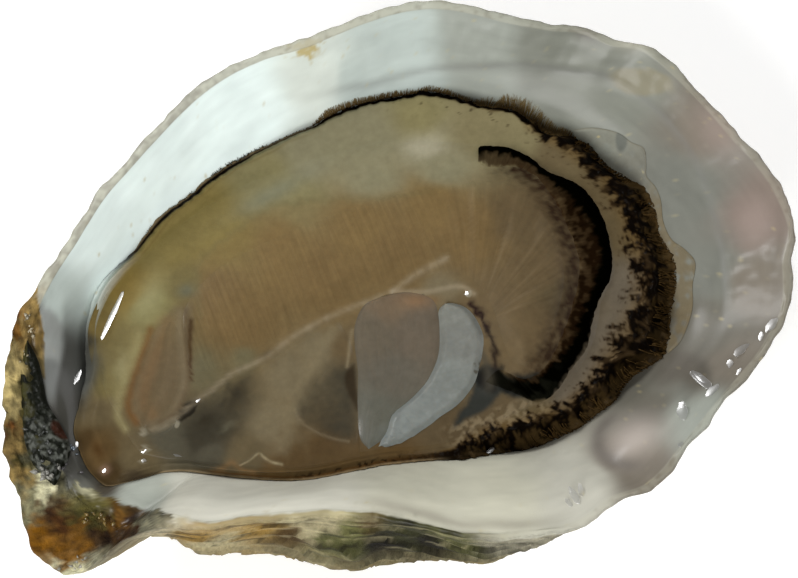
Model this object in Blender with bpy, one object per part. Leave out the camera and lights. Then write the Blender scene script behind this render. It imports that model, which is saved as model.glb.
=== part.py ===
"""Oyster on the half shell: the cupped lower valve with the opened oyster lying in it.

The valve lies on its back. +X runs from the hinge (beak) to the bill, +Z is up, and the
origin is on the table under the middle of the shell's box. All sizes below are in
millimetres; MM turns them into metres when a mesh is made.

Every piece starts as a primitive (a UV sphere, or a small circle spun into a ring) and is
formed by moving its vertices with functions of a few named curves:
- the valve's outer face, rim and nacre are profiles that change round the shell;
- a soft organ is a cushion between two edge curves, resting on the nacre.
"""
import bmesh
import bpy
from math import atan2, cos, degrees, hypot, pi, radians, sin
from mathutils import Matrix, Vector

MM = 0.001

# ---- driving dimensions -------------------------------------------------------------------
SHELL_SEGMENTS = 84          # columns of the valve's mesh round the rim
SHELL_RINGS = 28             # rings of the valve's mesh, from the foot over the rim to the floor
OUTER_RINGS = 15             # how many of those lie on the outer face, three to a ledge
FOOT_RINGS = 2               # and how many on the flat foot
FLOOR_THICKNESS = 3.6        # nacre over the foot, at the deepest point of the cup
FOOT = (17.0, 10.0)          # half-axes of the flat spot that the valve rests on
FOOT_CENTRE = (-1.2, -2.8)
GAP = 0.3                    # between pieces that touch
BED_GAP = 0.55               # between an organ's underside and the faceted nacre
MANTLE_LINE = 18.4           # height of the nacre where the mantle's edge lies on it
LEDGES = 5                   # growth ledges up the outer face
LEDGE_STEP = 1.5             # how far each ledge stands out at the rim
FOLDS = 9                    # radial folds of the outer face
FOLD_DEPTH = 0.9

# Round the shell, by angle from +X towards +Y, in degrees.
# The rim's outer edge: (angle, radius, height).
RIM = [
    (3, 49.3, 23.7), (8, 48.0, 24.0), (18, 46.8, 24.2), (27, 46.0, 24.5), (32, 43.7, 24.6),
    (37, 42.7, 25.0), (42, 40.8, 25.3), (50, 39.2, 25.6), (62, 38.5, 26.3), (68, 37.7, 26.5),
    (76, 36.1, 26.8), (84, 34.7, 27.0), (91, 34.0, 27.2), (100, 34.5, 27.4), (110, 34.9, 27.5),
    (125, 35.2, 27.3), (134, 36.0, 27.0), (143, 37.6, 26.6), (152, 39.4, 26.0), (160, 42.5, 25.0),
    (168, 46.0, 23.5), (175, 48.0, 21.0), (182, 49.4, 19.0), (187, 50.6, 18.5), (190, 50.3, 18.0),
    (193, 51.5, 17.5), (197, 52.0, 16.6), (199.4, 51.5, 16.0), (201.6, 50.8, 16.0),
    (203, 48.8, 16.4), (203.5, 46.5, 17.2), (203.8, 44.8, 18.2), (204.4, 43.0, 19.6),
    (205.4, 41.8, 21.0), (206.6, 40.6, 22.0), (209, 38.8, 23.4), (215, 36.3, 24.5),
    (221, 33.0, 24.8), (229, 30.2, 25.0), (238, 28.4, 25.1), (249, 27.9, 25.2), (260, 29.5, 25.2),
    (270, 32.0, 25.1), (279, 33.8, 25.0), (291, 36.7, 24.6), (298, 37.2, 24.5), (305, 39.5, 24.3),
    (313, 40.4, 24.2), (320, 41.5, 24.0), (327, 43.5, 23.8), (335, 46.7, 23.7), (342, 48.8, 23.6),
    (347, 49.1, 23.5), (353, 50.7, 23.5), (358, 50.3, 23.5),
]
# How wide the top of the rim is: narrow all round, a broad plate at the hinge.
RIM_TOP = [
    (0, 1.3), (150, 1.3), (165, 2.0), (176, 3.6), (184, 5.0), (192, 6.4), (199, 8.6), (203, 6.5),
    (206, 2.4), (215, 1.6), (240, 1.4), (300, 1.3),
]
# The rim's inner edge stands this much above its outer edge.
RIM_RISE = [(0, 0.1), (150, 0.1), (172, 0.6), (186, 1.4), (198, 2.6), (204, 2.2), (212, 0.2), (300, 0.1)]
# Where the nacre's slope changes, as a share of the way from the mantle line to the rim,
# and the height there as a share of the rise.
SHELF_PLACE = [(0, 0.50), (30, 0.53), (60, 0.45), (100, 0.5), (180, 0.5), (240, 0.55), (300, 0.5), (335, 0.5)]
SHELF_RISE = [(0, 0.42), (30, 0.44), (60, 0.46), (120, 0.50), (180, 0.6), (225, 0.80), (270, 0.76),
              (300, 0.6), (335, 0.45)]
# How straight the outer wall runs: 0 is a round belly, 1 a straight cone.
WALL_SLANT = [(0, 0.80), (40, 0.70), (90, 0.62), (140, 0.50), (180, 0.35), (200, 0.20), (208, 0.05),
              (250, 0.05), (275, 0.35), (310, 0.65)]
# Older growth standing out below the rim.
BELLY = [(0, 0.0), (60, 0.0), (110, -0.6), (160, -0.5), (190, -1.0), (199, -2.6), (203.5, -4.0), (206, -2.6),
         (209, 0.4), (214, 3.0), (226, 4.6), (240, 4.9), (252, 4.3), (265, 4.3), (272, 4.2), (280, 2.6),
         (288, 0.9), (300, 0.2), (320, 0.0)]
# The mantle's outer edge and the body's outline within it.
MANTLE_EDGE = [
    (0, 35.8), (15, 36.6), (30, 34.0), (45, 31.4), (60, 29.8), (75, 28.3), (90, 26.8), (105, 26.4),
    (120, 27.4), (135, 29.6), (150, 32.7), (165, 37.0), (180, 39.4), (190, 41.4), (196, 40.2),
    (202, 34.5), (210, 29.3), (225, 24.9), (240, 21.9), (255, 20.5), (270, 20.6), (285, 22.7),
    (300, 25.9), (315, 28.9), (330, 33.2), (345, 36.6),
]
BODY_EDGE = [
    (0, 29.3), (10, 29.5), (20, 28.5), (27, 27.2), (38, 26.6), (46, 24.6), (60, 23.0), (75, 22.4),
    (90, 21.7), (105, 22.3), (120, 24.4), (135, 27.3), (150, 31.2), (160, 34.9), (168, 36.4),
    (176, 36.2), (184, 35.5), (192, 35.0), (200, 32.6), (210, 28.0), (225, 23.4), (240, 20.4),
    (255, 19.0), (270, 18.9), (285, 19.4), (297, 20.0), (306, 21.6), (320, 24.2), (333, 25.6),
    (343, 26.2), (353, 28.6),
]

# The soft organs, each between an outer and an inner edge that share both ends (x, y),
# with the height of its crown and of the rim of its top.
VISCERA_OUTER = [(-35.4, 1.5), (-35.2, 6.5), (-32.0, 11.8), (-27.0, 15.2), (-21.0, 18.2), (-14.0, 20.4),
                 (-6.0, 21.0), (2.0, 21.1), (9.0, 20.3), (14.0, 18.6), (16.0, 15.6)]
VISCERA_INNER = [(-35.4, 1.5), (-33.4, 2.6), (-30.6, 6.0), (-27.0, 7.6), (-24.0, 9.4), (-19.0, 12.4),
                 (-11.0, 14.2), (-2.0, 15.0), (7.0, 14.8), (13.0, 13.9), (16.0, 15.6)]
GILL_OUTER = [(-24.7, 2.0), (-24.0, 8.0), (-19.0, 11.8), (-11.0, 13.6), (-2.0, 14.4), (7.0, 14.2),
              (13.0, 13.3), (18.2, 12.2), (21.3, 10.2), (22.8, 6.0), (23.2, 2.0), (22.8, -2.0), (21.4, -5.4),
              (19.2, -8.6), (16.4, -11.6), (13.2, -12.8)]
GILL_INNER = [(-24.7, 2.0), (-25.6, -1.0), (-22.0, -2.0), (-18.0, -1.3), (-14.0, -0.2), (-10.0, 1.0),
              (-5.0, 1.9), (0.0, 2.1), (5.0, 2.0), (9.2, 0.6), (10.8, -2.4), (11.0, -5.5), (10.8, -8.5),
              (11.0, -11.4), (13.2, -12.8)]
UPPER_MANTLE_OUTER = [(16.9, 15.2), (18.4, 16.8), (20.8, 15.7), (23.6, 12.5), (26.0, 9.6), (27.9, 6.8),
                      (28.6, 3.4), (28.5, 0.0), (27.8, -3.0), (26.0, -5.7), (23.6, -8.2), (21.6, -11.4),
                      (18.6, -14.4), (15.4, -16.4), (12.0, -16.9), (8.0, -16.9), (3.6, -17.4)]
UPPER_MANTLE_INNER = [(16.9, 15.2), (17.4, 13.4), (19.0, 12.9), (22.1, 10.8), (23.5, 6.2), (23.9, 2.0),
                      (23.4, -2.3), (22.0, -5.9), (19.7, -9.2), (16.8, -12.2), (13.4, -13.5), (10.6, -13.0),
                      (8.6, -13.3), (6.0, -15.0), (3.6, -17.4)]
PALPS_OUTER = [(-25.4, 6.9), (-28.4, 6.2), (-31.6, 3.2), (-33.8, 0.0), (-34.2, -3.0), (-32.9, -5.2)]
PALPS_INNER = [(-25.4, 6.9), (-25.0, 4.3), (-25.5, 1.0), (-26.6, -2.0), (-28.2, -4.2), (-30.4, -5.5),
               (-32.9, -5.2)]
PERICARDIUM_OUTER = [(-33.2, -6.4), (-30.0, -5.9), (-27.6, -4.4), (-22.0, -2.7), (-18.0, -2.0), (-14.0, -0.9),
                     (-10.0, 0.3), (-6.6, 1.0), (-6.0, -2.6), (-6.5, -6.0), (-7.7, -10.0), (-8.6, -14.0),
                     (-9.0, -17.0)]
PERICARDIUM_INNER = [(-33.2, -6.4), (-31.6, -9.0), (-27.6, -12.0), (-22.0, -14.6), (-16.0, -16.4), (-9.0, -17.0)]
QUICK_OUTER = [(0.0, 1.4), (-3.0, 1.1), (-4.9, -0.6), (-5.5, -3.0), (-6.0, -6.0), (-7.2, -10.0), (-8.0, -14.0),
               (-8.0, -16.0)]
QUICK_INNER = [(0.0, 1.4), (3.0, 0.9), (4.8, -0.8), (4.9, -3.0), (4.3, -5.3), (3.3, -7.6), (1.4, -9.8),
               (-1.5, -11.6), (-4.0, -12.8), (-5.4, -14.2), (-8.0, -16.0)]
CATCH_OUTER = [(5.9, -1.5), (5.5, -3.1), (4.9, -5.4), (3.9, -7.9), (2.0, -10.2), (-1.0, -12.1), (-3.5, -13.3),
               (-4.8, -14.6), (-6.8, -16.5)]
CATCH_INNER = [(5.9, -1.5), (7.4, -1.7), (8.8, -2.5), (9.9, -4.6), (10.1, -7.5), (9.2, -10.1), (7.7, -12.1),
               (5.0, -14.2), (2.0, -15.7), (-2.0, -16.9), (-5.0, -17.2), (-6.8, -16.5)]
LIGAMENT_OUTER = [(-43.6, 8.2), (-45.4, 5.0), (-46.6, 0.5), (-47.0, -4.0), (-45.8, -8.6)]
LIGAMENT_INNER = [(-43.6, 8.2), (-43.6, 4.6), (-44.3, 0.5), (-44.5, -4.0), (-45.8, -8.6)]

# The organs' heights and finish: crown of the top, height of its border, colour, roughness.
ORGANS = {
    "visceral_mass": (VISCERA_OUTER, VISCERA_INNER, 20.6, 19.0, (0.30, 0.26, 0.13), 0.30),
    "gills": (GILL_OUTER, GILL_INNER, 21.2, 19.4, (0.28, 0.18, 0.09), 0.30),
    "upper_mantle": (UPPER_MANTLE_OUTER, UPPER_MANTLE_INNER, 20.4, 19.2, (0.03, 0.02, 0.015), 0.30),
    "labial_palps": (PALPS_OUTER, PALPS_INNER, 19.6, 18.4, (0.30, 0.19, 0.10), 0.30),
    "pericardium": (PERICARDIUM_OUTER, PERICARDIUM_INNER, 18.4, 17.8, (0.16, 0.13, 0.10), 0.25),
    "adductor_quick": (QUICK_OUTER, QUICK_INNER, 18.6, 18.2, (0.20, 0.17, 0.15), 0.25),
    "adductor_catch": (CATCH_OUTER, CATCH_INNER, 19.0, 18.5, (0.55, 0.60, 0.62), 0.35),
}
ORGAN_SEGMENTS = 12          # columns round an organ's section
ORGAN_RINGS = 22             # sections along an organ
LIGAMENT_HEIGHT = 1.9
SQUARENESS = 0.38            # below 1 an organ's section is fuller than an ellipse

MANTLE_SEGMENTS = 72
MANTLE_SECTION = 10          # points round the mantle ring's section
MANTLE_CREST = 20.3          # height of the mantle's frilled edge
MANTLE_TROUGH = 18.9         # height of its inner margin against the body
FRILL = 0.25                 # waves of the mantle's edge
FRILL_COUNT = 23


# ---- curves -------------------------------------------------------------------------------
def catmull_rom(a, b, c, d, t):
    """The smooth value between b and c, a share t of the way."""
    return 0.5 * (2 * b + (c - a) * t + (2 * a - 5 * b + 4 * c - d) * t * t
                  + (3 * b - a - 3 * c + d) * t ** 3)


def around(knots, angle, column=1):
    """A value that changes smoothly round the shell, without overshoot, read at an angle in degrees."""
    angle %= 360
    count = len(knots)
    after = next((i for i, knot in enumerate(knots) if knot[0] > angle), count)
    near = [(after + k) % count for k in (-2, -1, 0, 1)]
    places = [knots[i][0] + 360 * ((after + k) // count) for i, k in zip(near, (-2, -1, 0, 1))]
    values = [knots[i][column] for i in near]
    slopes = [(values[i + 1] - values[i]) / (places[i + 1] - places[i]) for i in range(3)]
    start, end = [2 * a * b / (a + b) if a * b > 0 else 0.0 for a, b in zip(slopes, slopes[1:])]
    span = places[2] - places[1]
    t = (angle - places[1]) / span
    return (values[1] * (1 + 2 * t) * (1 - t) ** 2 + start * span * t * (1 - t) ** 2
            + values[2] * t * t * (3 - 2 * t) + end * span * t * t * (t - 1))


def along(points, share):
    """The point a share of the way along an open smooth curve, by its length."""
    steps = [hypot(b[0] - a[0], b[1] - a[1]) for a, b in zip(points, points[1:])]
    rest = share * sum(steps)
    for i, step in enumerate(steps):
        if rest <= step or i == len(steps) - 1:
            break
        rest -= step
    before, after = points[max(i - 1, 0)], points[min(i + 2, len(points) - 1)]
    t = min(rest / step, 1.0)
    return tuple(catmull_rom(before[k], points[i][k], points[i + 1][k], after[k], t) for k in (0, 1))


def through(profile, share):
    """A (radius, height) profile read by a share of its point spacing."""
    place = share * (len(profile) - 1)
    i = min(int(place), len(profile) - 2)
    before, after = profile[max(i - 1, 0)], profile[min(i + 2, len(profile) - 1)]
    return tuple(catmull_rom(before[k], profile[i][k], profile[i + 1][k], after[k], place - i)
                 for k in (0, 1))


# ---- the valve's form ---------------------------------------------------------------------
def foot_radius(angle):
    """From the shell's middle to the border of its flat foot."""
    a = radians(angle)
    ellipse = 1 / hypot(cos(a) / FOOT[0], sin(a) / FOOT[1])
    return ellipse + FOOT_CENTRE[0] * cos(a) + FOOT_CENTRE[1] * sin(a)


def outer_point(angle, share):
    """(radius, height) on the outer face: share 0 is the foot's border, 1 the rim."""
    foot, rim, height = foot_radius(angle), around(RIM, angle), around(RIM, angle, 2)
    slant = around(WALL_SLANT, angle)
    turn = share * pi / 2
    radius = foot + (rim - foot) * ((1 - slant) * sin(turn) + slant * share)
    level = height * ((1 - slant) * (1 - cos(turn)) + slant * share ** 1.4)
    radius += around(BELLY, angle) * sin(pi * share ** 1.3) ** 2
    ledge = (share * LEDGES) % 1.0 if share < 1 else 0.0
    fade = sin(pi * min(share, 1.0) ** 2)
    radius += LEDGE_STEP * (ledge - 0.5) * fade
    radius += FOLD_DEPTH * sin(radians(angle) * FOLDS + 1.0) * fade
    return radius, level


def inner_profile(angle):
    """(radius, height) points from the rim's inner edge down the nacre to the cup's floor."""
    rim = around(RIM, angle) - around(RIM_TOP, angle)
    top = around(RIM, angle, 2) + around(RIM_RISE, angle)
    line = min(around(MANTLE_EDGE, angle) + 0.6, rim - 1.2)
    shelf = line + (rim - line) * around(SHELF_PLACE, angle)
    shelf_top = MANTLE_LINE + (top - MANTLE_LINE) * around(SHELF_RISE, angle)
    return [
        (rim, top), (shelf, shelf_top), (line, MANTLE_LINE), (line * 0.87, MANTLE_LINE * 0.70),
        (line * 0.68, MANTLE_LINE * 0.42), (line * 0.42, FLOOR_THICKNESS + 1.2), (0.0, FLOOR_THICKNESS),
    ]


def nacre_height(x, y):
    """Height of the inside of the cup over a point of the plan."""
    profile = inner_profile(degrees(atan2(y, x)))
    reach = hypot(x, y)
    steps = 40
    last = through(profile, 0.0)
    for i in range(1, steps + 1):
        here = through(profile, i / steps)
        if here[0] <= reach:
            share = (last[0] - reach) / max(last[0] - here[0], 1e-6)
            return last[1] + (here[1] - last[1]) * max(share, 0.0)
        last = here
    return FLOOR_THICKNESS


def rim_angles(count):
    """Angles that space columns evenly along the rim, so that the beak gets its share."""
    steps = 1440
    points = []
    for i in range(steps + 1):
        angle = i * 360 / steps
        radius = around(RIM, angle)
        points.append((radius * cos(radians(angle)), radius * sin(radians(angle))))
    lengths = [0.0]
    for a, b in zip(points, points[1:]):
        lengths.append(lengths[-1] + hypot(b[0] - a[0], b[1] - a[1]))
    angles, i = [], 0
    for column in range(count):
        goal = lengths[-1] * column / count
        while lengths[i + 1] < goal:
            i += 1
        share = (goal - lengths[i]) / (lengths[i + 1] - lengths[i])
        angles.append((i + share) * 360 / steps)
    return angles


def valve_point(angle, ring):
    """A point of the valve's closed skin: ring 0 is the foot's middle, the last the cup's floor."""
    rim_ring = FOOT_RINGS + OUTER_RINGS
    if ring <= FOOT_RINGS:
        radius, height = foot_radius(angle) * ring / FOOT_RINGS, 0.0
    elif ring <= rim_ring:
        radius, height = outer_point(angle, (ring - FOOT_RINGS) / OUTER_RINGS)
    else:
        down = (ring - rim_ring - 1) / (SHELL_RINGS - rim_ring - 1)
        radius, height = through(inner_profile(angle), down)
    a = radians(angle)
    return radius * cos(a), radius * sin(a), height


# ---- making meshes ------------------------------------------------------------------------
def material(name, colour, roughness, coat=0.0):
    finish = bpy.data.materials.new(name)
    finish.use_nodes = True
    principled = finish.node_tree.nodes["Principled BSDF"]
    principled.inputs["Base Color"].default_value = (*colour, 1.0)
    principled.inputs["Roughness"].default_value = roughness
    principled.inputs["Metallic"].default_value = 0.0
    principled.inputs["Coat Weight"].default_value = coat
    return finish


def finish_object(name, bm, colour, roughness, coat=0.0):
    """Turn a mesh in millimetres into a smooth-shaded object in metres."""
    bmesh.ops.recalc_face_normals(bm, faces=bm.faces)
    if bm.calc_volume(signed=True) < 0:
        bmesh.ops.reverse_faces(bm, faces=bm.faces)
    bmesh.ops.scale(bm, vec=(MM, MM, MM), verts=bm.verts)
    mesh = bpy.data.meshes.new(name)
    bm.to_mesh(mesh)
    bm.free()
    mesh.shade_smooth()
    mesh.materials.append(material(name, colour, roughness, coat))
    piece = bpy.data.objects.new(name, mesh)
    bpy.context.scene.collection.objects.link(piece)
    return piece


def make_shell():
    """The lower valve, formed from a sphere: its north pole becomes the cup's floor."""
    bm = bmesh.new()
    bmesh.ops.create_uvsphere(bm, u_segments=SHELL_SEGMENTS, v_segments=SHELL_RINGS, radius=1)
    angles = rim_angles(SHELL_SEGMENTS)
    for vert in bm.verts:
        ring = round(degrees(Vector((0, 0, -1)).angle(vert.co)) * SHELL_RINGS / 180)
        column = round((degrees(atan2(vert.co.y, vert.co.x)) % 360) * SHELL_SEGMENTS / 360)
        vert.co = valve_point(angles[column % SHELL_SEGMENTS], ring)
    return finish_object("shell", bm, (0.62, 0.62, 0.58), 0.35, 0.3)


def soften(value):
    """Round an ellipse's coordinate towards a box, keeping its sign."""
    return abs(value) ** SQUARENESS * (1 if value >= 0 else -1)


def make_organ(name, outer, inner, crown, border, colour, roughness):
    """A soft cushion between two edges: a sphere laid along them, its underside on the nacre."""
    bm = bmesh.new()
    bmesh.ops.create_uvsphere(bm, u_segments=ORGAN_SEGMENTS, v_segments=ORGAN_RINGS, radius=1)
    for vert in bm.verts:
        share = degrees(Vector((0, 0, 1)).angle(vert.co)) / 180
        spread = hypot(vert.co.x, vert.co.y)
        side, lift = (vert.co.x / spread, vert.co.y / spread) if spread > 1e-4 else (0.0, 0.0)
        side, lift = soften(side), soften(lift)
        a, b = along(outer, share), along(inner, share)
        x = (a[0] + b[0]) / 2 + (a[0] - b[0]) / 2 * side
        y = (a[1] + b[1]) / 2 + (a[1] - b[1]) / 2 * side
        bed = nacre_height(x, y) + BED_GAP
        waist = max(border - 1.0, bed + 0.3)
        end = min(1.0, 6 * min(share, 1 - share))
        top = border + (crown - border) * (1 - side * side) * end
        top = max(top, waist + 0.3)
        z = waist + (top - waist) * lift if lift > 0 else waist + (waist - bed) * lift
        vert.co = (x, y, z)
    return finish_object(name, bm, colour, roughness, 0.4)


def make_ligament():
    """The torn hinge ligament, a ragged strip on the hinge plate behind the cup."""
    bm = bmesh.new()
    bmesh.ops.create_uvsphere(bm, u_segments=10, v_segments=14, radius=1)
    for vert in bm.verts:
        share = degrees(Vector((0, 0, 1)).angle(vert.co)) / 180
        spread = hypot(vert.co.x, vert.co.y)
        side, lift = (vert.co.x / spread, vert.co.y / spread) if spread > 1e-4 else (0.0, 0.0)
        a, b = along(LIGAMENT_OUTER, share), along(LIGAMENT_INNER, share)
        x = (a[0] + b[0]) / 2 + (a[0] - b[0]) / 2 * side
        y = (a[1] + b[1]) / 2 + (a[1] - b[1]) / 2 * side
        bed = plate_height(x, y) + GAP
        ragged = 1 + 0.25 * sin(share * 40)
        vert.co = (x, y, bed + LIGAMENT_HEIGHT * ragged * (0.5 + 0.5 * lift))
    return finish_object("hinge_ligament", bm, (0.05, 0.045, 0.04), 0.5)


def plate_height(x, y):
    """Height of the hinge plate between the rim's two edges."""
    angle = degrees(atan2(y, x))
    outer = around(RIM, angle)
    share = (outer - hypot(x, y)) / around(RIM_TOP, angle)
    return around(RIM, angle, 2) + around(RIM_RISE, angle) * min(max(share, 0.0), 1.0)


def make_lower_mantle():
    """The mantle round the body: a wedge-shaped ring on the nacre with a thick wavy edge."""
    bm = bmesh.new()
    bmesh.ops.create_circle(bm, segments=MANTLE_SECTION, radius=0.5,
                            matrix=Matrix.Translation((2, 0, 0)) @ Matrix.Rotation(pi / 2, 4, "X"))
    bmesh.ops.spin(bm, geom=bm.verts[:] + bm.edges[:], cent=(0, 0, 0), axis=(0, 0, 1), angle=2 * pi,
                   steps=MANTLE_SEGMENTS, use_merge=True, use_duplicate=False)
    bmesh.ops.remove_doubles(bm, verts=bm.verts, dist=1e-4)
    for vert in bm.verts:
        angle = degrees(atan2(vert.co.y, vert.co.x))
        side = soften((hypot(vert.co.x, vert.co.y) - 2) * 2)
        lift = soften(vert.co.z * 2)
        low, high = around(BODY_EDGE, angle) + GAP, around(MANTLE_EDGE, angle)
        radius = (low + high) / 2 + (high - low) / 2 * side
        x, y = radius * cos(radians(angle)), radius * sin(radians(angle))
        bed = nacre_height(x, y) + BED_GAP
        across = (side + 1) / 2
        top = MANTLE_TROUGH + (MANTLE_CREST - MANTLE_TROUGH) * across
        top += FRILL * sin(radians(angle) * FRILL_COUNT) * across
        top = max(top, bed + 0.9)
        vert.co = (x, y, bed + (top - bed) * (lift + 1) / 2)
    return finish_object("lower_mantle", bm, (0.20, 0.15, 0.09), 0.3, 0.4)


def stand_on_centre(pieces):
    """Shift every mesh so that the origin lies under the middle of the whole box."""
    corners = [vert.co for piece in pieces for vert in piece.data.vertices]
    low = Vector(min(corner[k] for corner in corners) for k in range(3))
    high = Vector(max(corner[k] for corner in corners) for k in range(3))
    shift = Vector(((low.x + high.x) / -2, (low.y + high.y) / -2, -low.z))
    for piece in pieces:
        piece.data.transform(Matrix.Translation(shift))
    print("box, mm:", [round(v / MM, 2) for v in high - low], "shift, mm:", [round(v / MM, 2) for v in shift])


def main():
    for thing in list(bpy.data.objects):
        bpy.data.objects.remove(thing, do_unlink=True)
    pieces = [make_shell(), make_ligament(), make_lower_mantle()]
    pieces += [make_organ(name, *form) for name, form in ORGANS.items()]
    stand_on_centre(pieces)


main()
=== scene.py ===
# %% [markdown]
# # An oyster on the half shell
# The lower valve of a cupped oyster, opened and lying on its back with the animal still in
# it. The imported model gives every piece's place; here each piece gets its real surface:
# pearly nacre, layered outer shell, wet flesh and the dark frill of the mantle.

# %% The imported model
from math import cos, pi, radians, sin

import bmesh
import bpy
import numpy as np
from mathutils import Matrix, Vector


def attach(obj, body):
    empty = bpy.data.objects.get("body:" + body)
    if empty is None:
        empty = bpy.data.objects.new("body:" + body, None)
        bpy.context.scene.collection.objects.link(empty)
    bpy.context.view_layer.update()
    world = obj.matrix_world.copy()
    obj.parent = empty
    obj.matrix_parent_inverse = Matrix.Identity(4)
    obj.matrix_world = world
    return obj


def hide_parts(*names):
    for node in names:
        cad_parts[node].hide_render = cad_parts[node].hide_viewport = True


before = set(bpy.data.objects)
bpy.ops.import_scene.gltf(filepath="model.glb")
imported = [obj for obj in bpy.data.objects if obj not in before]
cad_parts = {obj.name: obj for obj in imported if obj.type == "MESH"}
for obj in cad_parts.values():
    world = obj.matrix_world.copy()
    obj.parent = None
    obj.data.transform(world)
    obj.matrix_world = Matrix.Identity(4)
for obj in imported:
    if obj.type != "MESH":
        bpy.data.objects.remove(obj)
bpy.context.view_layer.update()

print("packed nodes:", sorted(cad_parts))

# %% [markdown]
# ## Units and curves
# The forms below are drawn in millimetres on a plan with the hinge on the left and the bill
# on the right. A few knots describe each outline: either radii at angles round the cup, or
# points along an open curve. Smooth interpolation turns them into form, so a change to one
# knot moves the whole shape with it.

# %% From millimetres on the plan to metres in the row's frame
MM = 0.001
PLAN_MIDDLE = np.array([0.15, 0.34, 0.0])    # the plan's point over the middle of the shell's box


def to_frame(points):
    return (np.asarray(points, float) - PLAN_MIDDLE) * MM


def on_plan(angle, reach):
    """Plan points at angles in degrees and distances from the cup's middle."""
    a = np.radians(angle)
    return np.stack([reach * np.cos(a), reach * np.sin(a)], -1)


def polar(plan):
    """The angles and the distances of plan points."""
    return np.degrees(np.arctan2(plan[:, 1], plan[:, 0])) % 360, np.hypot(plan[:, 0], plan[:, 1])


def at_level(plan, level=0.0):
    """Plan points raised to one level, or to a level each."""
    return np.column_stack([plan, np.broadcast_to(level, len(plan))])


print("the plan's middle in the row's frame, mm:", to_frame((0, 0, 0)) / MM)

# %% Smooth values and curves
def around(knots, angle, column=1):
    """A smooth value round the cup, without overshoot, read at angles in degrees."""
    table = np.array([[k[0], k[column]] for k in knots], float)
    place = np.concatenate([table[-2:, 0] - 360, table[:, 0], table[:2, 0] + 360])
    value = np.concatenate([table[-2:, 1], table[:, 1], table[:2, 1]])
    step = np.diff(place)
    slope = np.diff(value) / step
    before, after = slope[:-1], slope[1:]
    same = before * after > 0
    lean = np.where(same, 2 * before * after / np.where(same, before + after, 1), 0)
    lean = np.concatenate([[0], lean, [0]])
    angle = np.asarray(angle, float) % 360
    i = np.clip(np.searchsorted(place, angle, "right") - 1, 0, len(step) - 1)
    t = (angle - place[i]) / step[i]
    return (value[i] * (1 + 2 * t) * (1 - t) ** 2 + lean[i] * step[i] * t * (1 - t) ** 2
            + value[i + 1] * t * t * (3 - 2 * t) + lean[i + 1] * step[i] * t * t * (t - 1))


def curve(points, count=200):
    """Evenly spaced points on a smooth open curve through the given ones."""
    points = np.array(points, float)
    ends = np.vstack([2 * points[0] - points[1], points, 2 * points[-1] - points[-2]])
    dense = []
    for a, b, c, d in zip(ends, ends[1:], ends[2:], ends[3:]):
        t = np.linspace(0, 1, 24, endpoint=False)[:, None]
        dense.append(0.5 * (2 * b + (c - a) * t + (2 * a - 5 * b + 4 * c - d) * t * t
                            + (3 * b - a - 3 * c + d) * t ** 3))
    dense = np.vstack(dense + [points[-1:]])
    run = np.concatenate([[0], np.cumsum(np.linalg.norm(np.diff(dense, axis=0), axis=1))])
    even = np.linspace(0, run[-1], count)
    return np.stack([np.interp(even, run, dense[:, k]) for k in range(points.shape[1])], 1)


def at_share(line, share):
    """Points at shares (0 to 1) of an evenly spaced curve."""
    place = np.clip(share, 0, 1) * (len(line) - 1)
    return np.stack([np.interp(place, np.arange(len(line)), line[:, k]) for k in range(line.shape[1])], -1)


def distance(points, line):
    """How far plan points lie from a curve, and the share of it that they lie beside."""
    points = np.asarray(points, float)
    far, beside = np.full(len(points), 1e9), np.zeros(len(points))
    for i, spot in enumerate(line):
        d = np.hypot(points[:, 0] - spot[0], points[:, 1] - spot[1])
        closer = d < far
        far[closer], beside[closer] = d[closer], i / (len(line) - 1)
    return far, beside


arch = curve([(0, 0), (1, 1), (2, 0)])
print("nearest that (1, 0) comes to an arch of", len(arch), "points:", distance([(1, 0)], arch)[0].round(2))

# %% Soft noise and soft edges
RANDOM = np.random.default_rng(7)
SHUFFLE = RANDOM.permutation(256)
SLOPES = RANDOM.normal(size=(256, 3))
SLOPES /= np.linalg.norm(SLOPES, axis=1)[:, None]


def fuzz(points, size, seed=0.0, octaves=1):
    """Soft random relief between about -1 and 1, with swells of the given size (gradient noise)."""
    place = np.asarray(points, float) / size + seed * 17.31
    total, loud = np.zeros(len(place)), 2.0
    for _ in range(octaves):
        cell = np.floor(place).astype(int)
        part = place - cell
        ease = part ** 3 * (part * (part * 6 - 15) + 10)
        for corner in np.ndindex(2, 2, 2):
            key = SHUFFLE[(cell[:, 0] + corner[0]) % 256] + cell[:, 1] + corner[1]
            key = SHUFFLE[(SHUFFLE[key % 256] + cell[:, 2] + corner[2]) % 256]
            weight = np.prod(np.where(corner, ease, 1 - ease), axis=1)
            total += loud * weight * np.einsum("ij,ij->i", SLOPES[key], part - corner)
        place, loud = place * 2 + 5.2, loud * 0.5
    return total


def smooth(value, low, high):
    """0 below low, 1 above high, and an S between."""
    t = np.clip((np.asarray(value, float) - low) / (high - low), 0, 1)
    return t * t * (3 - 2 * t)


def window(value, low, full, fade, end):
    """0 up to low, 1 from full to fade, 0 again from end, and an S between."""
    return smooth(value, low, full) * (1 - smooth(value, fade, end))


def bell(value, middle, half):
    """1 at the middle, falling away softly over a half-width to both sides."""
    return np.exp(-((value - middle) / half) ** 2)


def spot(points, x, y, wide, deep, turn=0.0):
    """A soft oval patch on the plan: 1 in its middle, fading out at its half-axes."""
    a = radians(turn)
    dx, dy = points[:, 0] - x, points[:, 1] - y
    u, v = (dx * cos(a) + dy * sin(a)) / wide, (dy * cos(a) - dx * sin(a)) / deep
    return np.exp(-(u * u + v * v))


print("a quarter, half and three quarters up the S:", smooth([0.25, 0.5, 0.75], 0, 1))

# %% [markdown]
# ## Paint
# Soft colour changes are laid on the vertices as a painter would: a ground blended from a
# few named washes, then streaks and spots over it. The fine grain comes later, from each
# material's nodes. Colours are written as they look on screen and turned into light.

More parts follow.
